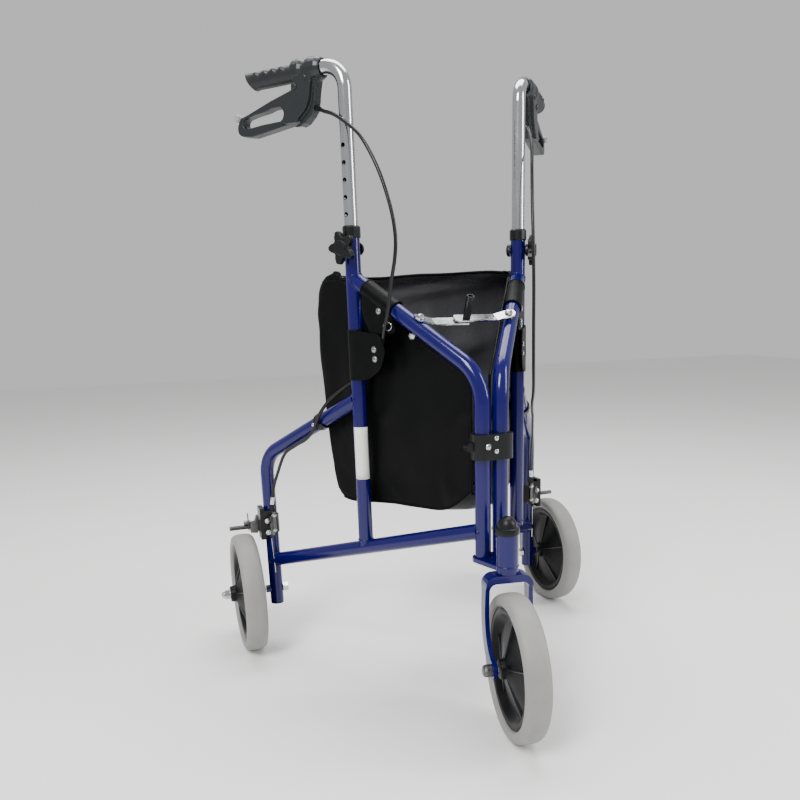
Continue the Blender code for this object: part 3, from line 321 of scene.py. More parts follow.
def frames_along(points):
    """A point, its direction and two cross directions, carried along a path without twist."""
    points = [Vector(p) for p in points]
    runs = [(b - a).normalized() for a, b in zip(points, points[1:])]
    across = runs[0].orthogonal().normalized()
    made = []
    for i, point in enumerate(points):
        before, after = runs[max(i - 1, 0)], runs[min(i, len(runs) - 1)]
        along = (before + after).normalized()
        across = (across - along * across.dot(along)).normalized()
        made.append((point, along, across, along.cross(across)))
    return made


def tube(name, points, radius, look, wall=0.0, sides=32, flatten=1.0):
    """A round tube along points, hollow with open ends if it has a wall."""
    bm = bmesh.new()
    rings = []
    for point, _, across, other in frames_along(points):
        ring = []
        for reach in ([radius, radius - wall] if wall else [radius]):
            for k in range(sides):
                a = 2 * math.pi * k / sides
                spoke = across * math.cos(a) + other * math.sin(a) * flatten
                ring.append(bm.verts.new(point + spoke * reach))
        rings.append(ring)
    for k in range(sides):
        n = (k + 1) % sides
        for near, far in zip(rings, rings[1:]):
            bm.faces.new((near[k], near[n], far[n], far[k]))
            if wall:
                bm.faces.new((near[sides + n], near[sides + k], far[sides + k], far[sides + n]))
        if wall:
            for ring in (rings[0], rings[-1]):
                bm.faces.new((ring[n], ring[k], ring[sides + k], ring[sides + n]))
    if not wall:
        bm.faces.new(rings[0])
        bm.faces.new(rings[-1])
    return link_mesh(name, bm, look)


def lathe(name, profile, matrix, look, steps=64, closed=False, angle=40.0):
    """A (radius, height) profile turned about local Z; radius 0 makes a pole."""
    bm = bmesh.new()
    rings = []
    for radius, height in profile:
        if radius < 1e-6:
            rings.append([bm.verts.new(matrix @ Vector((0, 0, height)))] * steps)
        else:
            rings.append([bm.verts.new(matrix @ Vector((radius * math.cos(2 * math.pi * k / steps),
                                                        radius * math.sin(2 * math.pi * k / steps),
                                                        height))) for k in range(steps)])
    pairs = list(zip(rings, rings[1:])) + ([(rings[-1], rings[0])] if closed else [])
    for near, far in pairs:
        for k in range(steps):
            n = (k + 1) % steps
            corners = []
            for vert in (near[k], near[n], far[n], far[k]):
                if vert not in corners:
                    corners.append(vert)
            if len(corners) > 2:
                bm.faces.new(corners)
    return link_mesh(name, bm, look, angle)


def bent(start, corner, end, radius, steps=20):
    """Points from start to end, with an arc of this radius instead of the corner."""
    start, corner, end = Vector(start), Vector(corner), Vector(end)
    back, ahead = (start - corner).normalized(), (end - corner).normalized()
    half = back.angle(ahead) / 2
    centre = corner + (back + ahead).normalized() * radius / math.sin(half)
    reach = radius / math.tan(half)
    first, last = corner + back * reach - centre, corner + ahead * reach - centre
    swing = first.angle(last)
    turn = [centre + (first * math.sin(swing * (1 - i / steps)) + last * math.sin(swing * i / steps))
            / math.sin(swing) for i in range(steps + 1)]
    return [start, *turn, end]


def smooth_route(points, per_span):
    """Points on a Catmull-Rom curve through the given ones."""
    points = [Vector(p) for p in points]
    padded = [points[0] * 2 - points[1], *points, points[-1] * 2 - points[-2]]
    made = []
    for i in range(1, len(padded) - 2):
        a, b, c, d = padded[i - 1:i + 3]
        for k in range(per_span):
            t = k / per_span
            made.append(0.5 * (2 * b + (c - a) * t + (2 * a - 5 * b + 4 * c - d) * t * t
                               + (3 * b - a - 3 * c + d) * t ** 3))
    return made + [points[-1]]


def dome(name, at, direction, radius, height, look, rim=0.0):
    """A rivet or snap head: a low dome, with a stepped rim if asked."""
    profile = [(0.0, height)]
    profile += [(radius * math.sin(a), height * (0.35 + 0.65 * math.cos(a)))
                for a in (0.35, 0.7, 1.05, 1.35)]
    profile += [(radius, height * 0.30), (radius, -0.0004)]
    if rim:
        profile[-1:] = [(radius, height * 0.12), (radius + rim, height * 0.10), (radius + rim, -0.0004)]
    profile.append((0.0, -0.0004))
    return lathe(name, profile, axis_matrix(at, direction), look, steps=24, angle=50)


def ring(name, at, direction, radius, thick, look, steps=48):
    """A closed round ring, such as a weld bead, a hem or a washer."""
    profile = [(radius + thick * math.cos(a), thick * math.sin(a))
               for a in [2 * math.pi * i / 10 for i in range(10)]]
    return lathe(name, profile, axis_matrix(at, direction), look, steps, closed=True, angle=80)


def settle(piece, body, *nodes):
    """Ride a body and stand for CAD nodes."""
    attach(piece, body)
    if nodes:
        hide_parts(*nodes)
    return piece


# ---------------------------------------------------------------- CAD nodes that keep their shape
def finish_node(node, look, bevel=0.0, remesh=0.0):
    """Better material and softened edges on a CAD node."""
    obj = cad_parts[node]
    obj.data.materials.clear()
    obj.data.materials.append(look)
    obj.data.shade_smooth()
    obj.data.set_sharp_from_angle(angle=math.radians(32))
    if remesh:
        soft = obj.modifiers.new("moulded", "REMESH")
        soft.mode = "VOXEL"
        soft.voxel_size = remesh
        soft.use_smooth_shade = True
        relax = obj.modifiers.new("relaxed", "SMOOTH")
        relax.factor = 0.5
        relax.iterations = 5
    elif bevel:
        add_bevel(obj, bevel)


for name, _ in SIDES:
    finish_node("collar_" + name, BLACK, bevel=0.0004)
    finish_node("height_knob_" + name, BLACK, remesh=0.0007)
    finish_node("knob_nut_" + name, BLACK)
    finish_node("brake_housing_" + name, GREY_BLACK, remesh=0.0008)
    finish_node("brake_lever_" + name, GREY_BLACK, remesh=0.0008)
    finish_node("lever_pin_" + name, GREY_BLACK)
    finish_node("cable_clip_" + name, BLACK, bevel=0.0004)
    finish_node("brake_bracket_" + name, BLACK, bevel=0.0008)
    finish_node("brake_arm_" + name, DARK_STEEL, bevel=0.0006)
    finish_node("rear_axle_" + name, ZINC, bevel=0.0004)
    finish_node("axle_nut_" + name, CHROME)
    finish_node("link_bar_" + name, CHROME, bevel=0.0004)
    finish_node("link_bolt_" + name, CHROME)
for node, look in (("caster_head", PAINT), ("caster_fork", PAINT), ("frame_clamp", BLACK)):
    finish_node(node, look, bevel=0.0012)
for node, look in (("stem_nut", ZINC), ("front_axle", ZINC), ("clamp_bolt", CHROME),
                   ("axle_cap_left", DARK_STEEL), ("axle_cap_right", DARK_STEEL), ("link_peg", BLACK)):
    finish_node(node, look)


# ---------------------------------------------------------------- side frame tubes
BORE_R = 0.0104


def cope(obj, side, beyond_u, line):
    """Shape a tube's rear end to the upright, so that it stays out of the upright's bore."""
    out = outward(side)
    for vert in obj.data.vertices:
        local = vert.co - Vector((side * HALF_SPACING, HINGE_Y, 0))
        off = local.dot(out)
        u = local.dot(rearward(side))
        if u > beyond_u:
            target = UPRIGHT_U - math.sqrt(max(0.0, BORE_R ** 2 - off ** 2))
            vert.co += line * ((target - u) / math.cos(UPPER_TILT))


def saddle_bead(side, u, z, line, post_u, sign):
    """Weld bead where a tube through (u, z) along line meets an upright tube at post_u."""
    reach = TUBE_R + 0.0002
    rear, out = rearward(side), outward(side)
    across = line.cross(out).normalized()
    points = []
    for k in range(57):
        a = 2 * math.pi * k / 56
        spoke = (out * math.cos(a) + across * math.sin(a)) * reach
        off = spoke.dot(out)
        gap = (post_u + sign * math.sqrt(max(0.0, reach ** 2 - off ** 2))) - u - spoke.dot(rear)
        points.append(place(side, u, z) + spoke + line * (gap / line.dot(rear)))
    return tube("bead", points, 0.0011, PAINT, sides=10)


def frame_tubes(name, side):
    body = "frame_" + name
    join_u, join_z = UPRIGHT_U - 0.004, upper_z(UPRIGHT_U - 0.004)
    front = bent(place(side, 0, FRONT_BOTTOM), place(side, 0, CORNER_Z), place(side, join_u, join_z), 0.065)
    main = tube(f"main_tube_{name}", front, TUBE_R, PAINT, wall=0.0015)
    rear = rearward(side)
    rise = (rear * math.cos(UPPER_TILT) + Vector((0, 0, math.sin(UPPER_TILT)))).normalized()
    cope(main, side, UPRIGHT_U - 0.012, rise)
    settle(main, body, "front_tube_" + name)
    low = LOWER_Z + LOWER_DROP * UPRIGHT_U
    post = [place(side, UPRIGHT_U, low + 0.004), place(side, UPRIGHT_U, UPRIGHT_TOP)]
    settle(tube(f"post_{name}", post, TUBE_R, PAINT, wall=0.0010), body, "upright_" + name)
    bar = [place(side, u, LOWER_Z + LOWER_DROP * u) for u in (0.006, LEG_U - 0.006)]
    settle(tube(f"low_bar_{name}", bar, TUBE_R, PAINT, wall=0.0015), body, "lower_tube_" + name)
    leg = bent(place(side, UPRIGHT_U + 0.006, leg_z(UPRIGHT_U + 0.006)), place(side, LEG_U, LEG_CORNER_Z),
               place(side, LEG_U, LEG_BOTTOM), 0.050)
    foot = place(side, LEG_U, WHEEL_Z)
    across = Vector((side, 0, 0))
    sleeve = tube("sleeve", [foot - across * 0.0105, foot + across * 0.0175], 0.0065, PAINT,
                  wall=0.0018, sides=24)
    settle(merge(f"leg_{name}", [tube("leg", leg, TUBE_R, PAINT, wall=0.0015), sleeve]), body,
           "rear_leg_" + name)
    slope = (rear + Vector((0, 0, LOWER_DROP))).normalized()
    fall = (place(side, LEG_U, LEG_CORNER_Z) - place(side, UPRIGHT_U, LEG_JOIN_Z)).normalized()
    near_u, far_u = 0.012, LEG_U - 0.012
    beads = [saddle_bead(side, near_u, LOWER_Z + LOWER_DROP * near_u, slope, 0.0, 1),
             saddle_bead(side, far_u, LOWER_Z + LOWER_DROP * far_u, slope, LEG_U, -1),
             saddle_bead(side, UPRIGHT_U - 0.015, upper_z(UPRIGHT_U - 0.015), rise, UPRIGHT_U, -1),
             saddle_bead(side, UPRIGHT_U + 0.014, leg_z(UPRIGHT_U + 0.014), fall, UPRIGHT_U, 1),
             ring("bead", place(side, UPRIGHT_U, low + 0.0128), (0, 0, 1), TUBE_R + 0.0001, 0.0011, PAINT)]
    settle(merge(f"welds_{name}", beads), body)


def handle(name, side):
    """Chrome tube with its row of height holes."""
    base = handle_matrix(side)
    path = bent(place(side, UPRIGHT_U, 0.590), place(side, UPRIGHT_U, HANDLE_Z),
                base @ Vector((HANDLE_END, 0, 0)), HANDLE_BEND, 24)
    obj = tube(f"chrome_tube_{name}", path, HANDLE_R, CHROME, wall=0.0012, sides=40)
    across = outward(side)
    drills = bmesh.new()
    for hole in range(-1, 7):
        centre = place(side, UPRIGHT_U, HOLE_Z + HOLE_PITCH * hole)
        bmesh.ops.create_cone(drills, cap_ends=True, segments=20, radius1=HOLE_R, radius2=HOLE_R,
                              depth=0.04, matrix=axis_matrix(centre, across))
    cutter = link_mesh("drills", drills, CHROME)
    cut = obj.modifiers.new("holes", "BOOLEAN")
    cut.object = cutter
    apply_modifiers(obj)
    bpy.data.objects.remove(cutter, do_unlink=True)
    obj.data.set_sharp_from_angle(angle=math.radians(35))
    settle(obj, "handle_" + name, "handle_tube_" + name)


def grip(name, side):
    """Soft grip with finger bumps on its outer side and a slanted, flared end."""
    base = handle_matrix(side)
    rows, steps = 72, 56
    outer = [(GRIP_START, 0.0098), (GRIP_START, 0.0109), (GRIP_START + 0.0008, 0.0113)]
    for i in range(rows + 1):
        t = i / rows
        s = GRIP_START + 0.0020 + t * (GRIP_END - GRIP_START - 0.0028)
        flare = 0.0009 * max(0.0, (t - 0.86) / 0.14) ** 2
        outer.append((s, 0.0113 + 0.0003 * math.sin(t * math.pi) + flare))
    outer += [(GRIP_END, 0.0119), (GRIP_END, 0.0105), (GRIP_END - 0.0008, 0.0090), (GRIP_END - 0.0008, 0.0)]
    bm = bmesh.new()
    rings = []
    for s, radius in outer:
        line = []
        for k in range(steps if radius else 1):
            angle = 2 * math.pi * k / steps
            swell = 0.0
            for bump_at in (0.0980, 0.1130, 0.1280, 0.1430):
                gap = math.remainder(angle - 0.50, 2 * math.pi) / 0.36
                swell += 0.0034 * math.exp(-((s - bump_at) / 0.0040) ** 2 - gap * gap)
            # angle 0 is the outer side: local Z points outward on the right and inward on the left
            across, up = math.cos(angle) * (radius + swell), math.sin(angle) * (radius + swell)
            lean = 0.55 * up * max(0.0, (s - 0.130) / (GRIP_END - 0.130))
            line.append(bm.verts.new(base @ Vector((s + lean, up, side * across))))
        rings.append(line if radius else line * steps)
    for near, far in zip(rings, rings[1:]):
        for k in range(steps):
            n = (k + 1) % steps
            corners = []
            for vert in (near[k], near[n], far[n], far[k]):
                if vert not in corners:
                    corners.append(vert)
            if len(corners) > 2:
                bm.faces.new(corners)
    bm.faces.new([v for v in rings[0]])
    settle(link_mesh(f"soft_grip_{name}", bm, RUBBER, 50), "handle_" + name, "grip_" + name)


def handle_details(name, side):
    """Housing rivets, the cable's adjuster and the lever's pale end pad."""
    base = handle_matrix(side)
    rivets = []
    for face in (-1, 1):
        at = base @ Vector((0.0559, -0.0113, face * (HOUSING_HALF - 0.0003)))
        line = base.to_3x3() @ Vector((0, 0, face))
        rivets.append(dome("rivet", at, line, 0.0034, 0.0022, GREY_BLACK, rim=0.0008))
    settle(merge(f"housing_rivets_{name}", rivets), "handle_" + name)
    start = base @ Vector((0.0462, -0.0478, 0.0))
    along = (place(side, 0.2460, 0.8195, 0.0066) - start).normalized()
    nozzle = [(0.0, -0.004), (0.0042, -0.004), (0.0042, 0.0005), (0.0034, 0.0012), (0.0034, 0.0042),
              (0.0030, 0.0056), (0.00262, 0.0056), (0.00262, 0.0), (0.0, 0.0)]
    settle(lathe(f"cable_nozzle_{name}", nozzle, axis_matrix(start, along), BLACK, steps=24),
           "handle_" + name)
    tip = base @ Vector((0.1855, -0.0450, 0.0))
    line = base.to_3x3() @ Vector((0, 0, 1))
    half, r = 0.0121, 0.0051
    profile = [(0.0, half + 0.0004), (r * 0.8, half + 0.0003), (r, half - 0.0010), (r + 0.0001, 0.0),
               (r, 0.0010 - half), (r * 0.8, -half - 0.0003), (0.0, -half - 0.0004)]
    settle(lathe(f"lever_pad_{name}", profile, axis_matrix(tip, line), PAD_GREY, steps=32),
           "lever_" + name)


# ---------------------------------------------------------------- brake cables
CABLE_STOP = (LEG_U - 0.0136, 0.2510, 0.0074)
LEFT_ROUTE = [(0.2585, 0.8250, 0.0040), (0.2460, 0.8195, 0.0066), (0.2225, 0.8110, 0.0120),
              (0.1926, 0.7936, 0.0170), (0.1690, 0.7735, 0.0195), (0.1440, 0.7345, 0.0205),
              (0.1270, 0.6900, 0.0200), (0.1200, 0.6540, 0.0200), (0.1220, 0.6250, 0.0200),
              (0.1300, 0.5930, 0.0200), (0.1370, 0.5590, 0.0195), (0.1460, 0.5350, 0.0170),
              (0.1620, 0.5130, 0.0050), (0.1860, 0.4900, -0.0100), (0.2130, 0.4680, -0.0143),
              (0.2400, 0.4520, -0.0050), (0.2620, 0.4330, 0.0080), (0.2760, 0.4150, 0.0155),
              (0.2850, 0.3990, 0.0176), (0.2940, 0.3840, 0.0176), (0.3120, 0.3690, 0.0165),
              (0.3400, 0.3560, 0.0130), (0.3680, 0.3400, 0.0100), (0.3900, 0.3080, 0.0070),
              (0.4040, 0.2790, 0.0068), CABLE_STOP]
RIGHT_ROUTE = [(0.2585, 0.8250, 0.0040), (0.2420, 0.8140, 0.0115), (0.2200, 0.7880, 0.0185),
               (0.1950, 0.7520, 0.0215), (0.1740, 0.7050, 0.0245), (0.1620, 0.6500, 0.0275),
               (0.1620, 0.5900, 0.0290), (0.1730, 0.5300, 0.0285), (0.1980, 0.4750, 0.0270),
               (0.2320, 0.4320, 0.0245), (0.2620, 0.4070, 0.0200), (0.2850, 0.3920, 0.0180),
               (0.3020, 0.3800, 0.0176), (0.3320, 0.3590, 0.0150), (0.3630, 0.3350, 0.0120),
               (0.3880, 0.3050, 0.0080), (0.4030, 0.2790, 0.0068), CABLE_STOP]
ROUTES = {"left": LEFT_ROUTE, "right": RIGHT_ROUTE}
CABLE_R = 0.0025


def cable(name, side):
    """Outer cable from housing to brake. It rides no body, so it stays where it is built."""
    path = smooth_route([place(side, *point[:2], point[2]) for point in ROUTES[name]], 8)
    obj = tube(f"cable_{name}", path, CABLE_R, CABLE, sides=20)
    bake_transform(obj)
    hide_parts("brake_cable_" + name)


for side_name, side_sign in SIDES:
    frame_tubes(side_name, side_sign)
    handle(side_name, side_sign)
    grip(side_name, side_sign)
    handle_details(side_name, side_sign)
    cable(side_name, side_sign)


# ---------------------------------------------------------------- wheels
def half_profile(points):
    """A smooth tyre or rim section from its outboard half, listed from bead to tread."""
    outer = smooth_route([Vector((r, h, 0)) for r, h in points], 4)
    there = [(p.x, p.y) for p in outer]
    return there + [(r, -h) for r, h in reversed(there)][1:]


TYRE_HALF = [(0.0822, 0.0124), (0.0838, 0.0156), (0.0880, 0.0172), (0.0920, 0.0170), (0.0955, 0.0155),
             (0.0981, 0.0112), (0.0991, 0.0060), (0.0994, 0.0)]
RIBS, RIB_THICK = 5, 0.0019
RIB_START, RIB_END, RIB_RIM_HEIGHT = 0.0128, 0.0680, 0.0054


def tyre(name, body, node, matrix):
    """Solid grey tyre with a moulding line round each shoulder."""
    settle(lathe(name, half_profile(TYRE_HALF), matrix, TYRE, 128, closed=True, angle=60), body, node)
    lines = []
    for face in (-1, 1):
        at = matrix @ Vector((0, 0, face * 0.01685))
        lines.append(ring("line", at, matrix.to_3x3() @ Vector((0, 0, 1)), 0.0905, 0.0006, TYRE, 128))
    settle(merge(name + "_mould_lines", lines), body)


def wheel(name, body, node, matrix, hub_low, hub_high):
    """Moulded disc wheel with thin ribs on both faces."""
    def face(sign, hub):
        return [(r, sign * h) for r, h in (
            (0.0046, hub), (0.0118, hub), (0.0128, hub - 0.0008), (0.0134, hub - 0.003),
            (0.0140, hub * 0.74), (0.0156, hub * 0.69), (0.0190, hub * 0.62), (0.0600, 0.0040),
            (0.0645, 0.0034), (0.0664, 0.0046), (0.0690, 0.0080), (0.0722, 0.0112), (0.0738, 0.0125),
            (0.0752, 0.0128), (0.0790, 0.0128), (0.0796, 0.0122), (0.0822, 0.0122))]
    disc = lathe("disc", face(-1, hub_low) + list(reversed(face(1, hub_high))), matrix, WHEEL, 112,
                 closed=True, angle=32)
    pieces = [disc]
    for rib in range(RIBS):
        bm = bmesh.new()
        bmesh.ops.create_cube(bm, size=1.0)
        for vert in bm.verts:
            inner = vert.co.x < 0
            hub = hub_high if vert.co.z > 0 else hub_low
            reach = hub * 0.70 + 0.0008 if inner else RIB_RIM_HEIGHT
            radius = RIB_START if inner else RIB_END
            vert.co = Vector((radius, vert.co.y * RIB_THICK, math.copysign(reach, vert.co.z)))
        turn = Matrix.Rotation(math.pi + rib * 2 * math.pi / RIBS, 4, "Z")
        bmesh.ops.transform(bm, verts=bm.verts, matrix=matrix @ turn)
        # Each rib takes the lighter grey of the painted highlight.
        pieces.append(link_mesh("rib", bm, RIB_HIGHLIGHT, 30, bevel=0.0005))
    settle(merge(name, pieces), body, node)


def wheel_matrix(centre, yaw=0.0):
    """Local Z along the axle, pointing right."""
    return (Matrix.Translation(centre) @ Matrix.Rotation(yaw, 4, "Z")
            @ Matrix.Rotation(math.pi / 2, 4, "Y"))


CASTER = Matrix.Translation((0, HEAD_Y, 0)) @ Matrix.Rotation(CASTER_YAW, 4, "Z")
FRONT_CENTRE = CASTER @ Vector((0, -CASTER_LEAD, WHEEL_Z))
HUB_OUTBOARD, HUB_INBOARD, HUB_FRONT = 0.0298, 0.0263, 0.0238
tyre("tyre_front_soft", "front_wheel", "tyre_front", wheel_matrix(FRONT_CENTRE, CASTER_YAW))
wheel("disc_front", "front_wheel", "wheel_front", wheel_matrix(FRONT_CENTRE, CASTER_YAW),
      HUB_FRONT, HUB_FRONT)
for side_name, side_sign in SIDES:
    rear_centre = Vector((side_sign * REAR_TRACK, place(side_sign, LEG_U, 0).y, WHEEL_Z))
    hubs = (HUB_OUTBOARD, HUB_INBOARD) if side_sign < 0 else (HUB_INBOARD, HUB_OUTBOARD)
    tyre(f"tyre_rear_soft_{side_name}", f"rear_wheel_{side_name}", f"tyre_rear_{side_name}",
         wheel_matrix(rear_centre))
    wheel(f"disc_rear_{side_name}", f"rear_wheel_{side_name}", f"wheel_rear_{side_name}",
          wheel_matrix(rear_centre), *hubs)


# ---------------------------------------------------------------- head and caster details
HEAD_SHELL_R, HEAD_SHELL_LOW = 0.0150, 0.2190


def head_details():
    low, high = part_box("head_cap")
    radius = (high.x - low.x) / 2
    tall = high.z - low.z
    middle = Vector((0, (low.y + high.y) / 2, low.z))
    profile = [(0.0, tall)]
    profile += [(radius * 0.80 * math.sin(a), tall * (0.42 + 0.58 * math.cos(a)))
                for a in [0.12 * k for k in range(1, 13)]]
    profile += [(radius * 0.82, tall * 0.40), (radius * 0.97, tall * 0.36), (radius, tall * 0.30),
                (radius, tall * 0.02), (radius * 0.97, 0.0), (0.0, 0.0)]
    settle(lathe("cap_dome", profile, Matrix.Translation(middle), BLACK, 64, angle=35), "head", "head_cap")
    shell_top = low.z + 0.001
    bore = HEAD_SHELL_R - 0.0008
    shell = [(HEAD_SHELL_R, HEAD_SHELL_LOW), (HEAD_SHELL_R, shell_top), (bore, shell_top),
             (bore, HEAD_SHELL_LOW)]
    tube_shell = lathe("shell", shell, Matrix.Translation((0, HEAD_Y, 0)), PAINT, 96, closed=True)
    bead = ring("bead", (0, HEAD_Y, 0.2290), (0, 0, 1), HEAD_SHELL_R, 0.0009, PAINT, 64)
    settle(merge("head_tube", [tube_shell, bead]), "head")


def clamp_details():
    """Silver cross-head screws that close the frame clamp."""
    screws = []
    for x, z in ((-0.0005, 0.3945), (-0.0005, 0.3772)):
        at = Vector((x, HINGE_Y - 0.0172, z))
        screws.append(dome("screw", at, (0, -1, 0), 0.0032, 0.0018, CHROME))
    settle(merge("clamp_screws", screws), "head")


head_details()
clamp_details()


# ---------------------------------------------------------------- bag
BAG_REAR = ((0.2700, 0.2745), (0.2850, 0.2860), (0.2925, 0.3040), (0.2985, 0.3330), (0.3080, 0.4260),
            (0.3095, 0.5320), (0.3065, 0.5760), (0.3000, 0.5960), (0.2880, 0.6080), (0.2720, 0.6130))
BAG_FLOOR = ((0.0300, 0.3130), (0.0700, 0.2840), (0.1200, 0.2800), (0.1670, 0.2800), (0.2130, 0.2770),
             (0.2480, 0.2740), (0.2790, 0.2780))
BAG_FRONT = 0.030
BAG_SKIN, PIPING_R, THREAD_R = 0.0016, 0.0021, 0.00035
SIDE_COLUMNS, REAR_COLUMNS, BAG_ROWS = 44, 56, 60
STITCH_ROW = BAG_ROWS - 2


def curve_at(points, x, key=0):
    """Straight-line interpolation between points sorted by their key column."""
    other = 1 - key
    if x <= points[0][key]:
        return points[0][other]
    for a, b in zip(points, points[1:]):
        if x <= b[key]:
            t = (x - a[key]) / (b[key] - a[key])
            return a[other] + (b[other] - a[other]) * t
    return points[-1][other]


REAR_SMOOTH = [(p.x, p.y) for p in smooth_route([Vector((u, z, 0)) for u, z in BAG_REAR], 8)]
FLOOR_SMOOTH = [(p.x, p.y) for p in smooth_route([Vector((u, z, 0)) for u, z in BAG_FLOOR], 8)]


def bag_top(u):
    return min(upper_z(min(u, UPRIGHT_U)) - 0.021 + max(0.0, u - UPRIGHT_U) * 0.85, 0.6130)


def bag_side_point(t, v):
    """(u, z) on a side panel; t runs rearward, v upward."""
    u = BAG_FRONT + 0.26 * t
    for _ in range(4):
        floor = curve_at(FLOOR_SMOOTH, u)
        z = floor + (bag_top(u) - floor) * v
        u = BAG_FRONT + (curve_at(REAR_SMOOTH, z, 1) - BAG_FRONT) * t
    return u, z


def rear_top(x):
    return 0.6105 + 0.015 * x - 0.0045 * math.exp(-((x + 0.085) / 0.05) ** 2)


def bag_row(v):
    """One level line of the bag, from its left front edge round the back to its right front edge."""
    line = []
    for k in range(SIDE_COLUMNS + 1):
        u, z = bag_side_point(k / SIDE_COLUMNS, v)
        line.append(place(-1, u, z, -BAG_OFF))
    corner = line[-1].copy()
    for k in range(1, REAR_COLUMNS):
        x = corner.x * (1 - 2 * k / REAR_COLUMNS)
        bottom = 0.2780 - 0.004 * (1 - (x / corner.x) ** 2)
        z = bottom + (rear_top(x) - bottom) * v
        sag = 0.0055 * (1 - (x / corner.x) ** 2) * math.sin(math.pi * min(1.0, 0.25 + 0.6 * v))
        line.append(Vector((x, corner.y - sag, z)))
    for k in range(SIDE_COLUMNS, -1, -1):
        u, z = bag_side_point(k / SIDE_COLUMNS, v)
        line.append(place(1, u, z, -BAG_OFF))
    for _ in range(3):
        line = [line[0]] + [(a + b * 2 + c) / 4 for a, b, c in zip(line, line[1:], line[2:])] + [line[-1]]
    return line


def gauss(value, width):
    return math.exp(-(value / width) ** 2)


def bag_fold(p, t, v):
    """How far the bag's skin stands out from its smooth shape; t from 0 at the front edges to 1."""
    loose = min(1.0, 4.0 * min(t + 0.15, 1.0)) * min(1.0, 6.0 * (1.06 - v), 5.0 * (v + 0.05))
    out = 0.0050 * noise.noise(Vector((p.x * 9, p.y * 9 + 3, p.z * 5))) * loose
    out += 0.0022 * noise.noise(Vector((p.x * 30, p.y * 30, p.z * 15 + 7))) * loose
    crease = noise.noise(Vector((p.x * 11 + 5, p.y * 11, p.z * 7)))
    out += 0.0020 * (gauss(crease, 0.10) - 0.3) * loose
    if p.y > 0.10 and abs(p.x) < 0.150:
        line = p.z - (0.586 + (p.x + 0.049) * 0.138)
        reach = gauss(p.x - 0.04, 0.085)
        out += (0.0050 * gauss(line - 0.004, 0.006) - 0.0045 * gauss(line + 0.008, 0.009)) * reach
        out -= 0.0080 * gauss(p.x - 0.094, 0.040) * gauss(p.z - 0.500, 0.020)
        out += 0.0060 * gauss(p.x - 0.090, 0.050) * gauss(p.z - 0.455, 0.022)
        for seam in (0.136, 0.1435):
            out += 0.0012 * gauss(abs(p.x) - seam, 0.0016)
    behind = (p.y - HINGE_Y) / math.cos(SPREAD)
    if p.y < 0.10:
        out += 0.0014 * gauss(behind - 0.084, 0.0016) - 0.0012 * gauss(behind - 0.0875, 0.0016)
    return out


def make_bag():
    rows = [bag_row(j / BAG_ROWS) for j in range(BAG_ROWS + 1)]
    count = len(rows[0])
    middle = (count - 1) / 2
    moved = []
    for j, row in enumerate(rows):
        line = []
        for i, p in enumerate(row):
            along = (row[min(i + 1, count - 1)] - row[max(i - 1, 0)]).normalized()
            rise = (rows[min(j + 1, BAG_ROWS)][i] - rows[max(j - 1, 0)][i]).normalized()
            normal = rise.cross(along).normalized()
            t = 1 - abs(i - middle) / middle
            line.append(p + normal * bag_fold(p, t, j / BAG_ROWS))
        moved.append(line)
    bm = bmesh.new()
    grid = [[bm.verts.new(p) for p in row] for row in moved]
    for low, high in zip(grid, grid[1:]):
        for i in range(count - 1):
            bm.faces.new((low[i], low[i + 1], high[i + 1], high[i]))
    cross = []
    for i in range(SIDE_COLUMNS):
        left, right = grid[0][i], grid[0][count - 1 - i]
        line = [left]
        for k in range(1, REAR_COLUMNS):
            t = k / REAR_COLUMNS
            p = left.co.lerp(right.co, t)
            width = (right.co - left.co).length
            p.z -= 0.05 * width * math.sin(math.pi * t)
            p.z += 0.0020 * noise.noise(Vector((p.x * 22, p.y * 22, 2))) * math.sin(math.pi * t)
            line.append(bm.verts.new(p))
        cross.append(line + [right])
    cross.append([grid[0][SIDE_COLUMNS + k] for k in range(REAR_COLUMNS + 1)])
    for near, far in zip(cross, cross[1:]):
        for k in range(REAR_COLUMNS):
            bm.faces.new((near[k], near[k + 1], far[k + 1], far[k]))
    skin = link_mesh("bag_shell", bm, VINYL, 75)
    # The inside face of the skin takes the lighter grey of the painted sheen.
    skin.data.materials.append(SHEEN_LINING)
    thick = skin.modifiers.new("thickness", "SOLIDIFY")
    thick.thickness = BAG_SKIN
    thick.offset = 0.0
    thick.material_offset = 1
    thick.material_offset_rim = 0
    apply_modifiers(skin)
    top_edge, low_edge = moved[-1], moved[0]
    fronts = [[row[0] for row in moved], [row[-1] for row in moved]]
    edges = [top_edge, low_edge, *fronts]
    piping = [tube("piping", edge, PIPING_R, VINYL, sides=12) for edge in edges]
    trim = merge("bag_piping", piping)
    stitches = []
    for i in range(2, count - 2):
        p, q = moved[STITCH_ROW][i], moved[STITCH_ROW][i + 1]
        along = (q - p).normalized()
        rise = (moved[STITCH_ROW + 1][i] - p).normalized()
        normal = rise.cross(along).normalized()
        for face in (-1, 1):
            lift = normal * face * 0.0010
            stitch = [p.lerp(q, 0.15) + lift, p.lerp(q, 0.75) + lift]
            stitches.append(tube("stitch", stitch, THREAD_R, CABLE, sides=6))
    thread = merge("bag_stitching", stitches)
    for piece in (skin, trim, thread):
        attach(piece, "head")
        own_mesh(piece)
    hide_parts("bag")


make_bag()


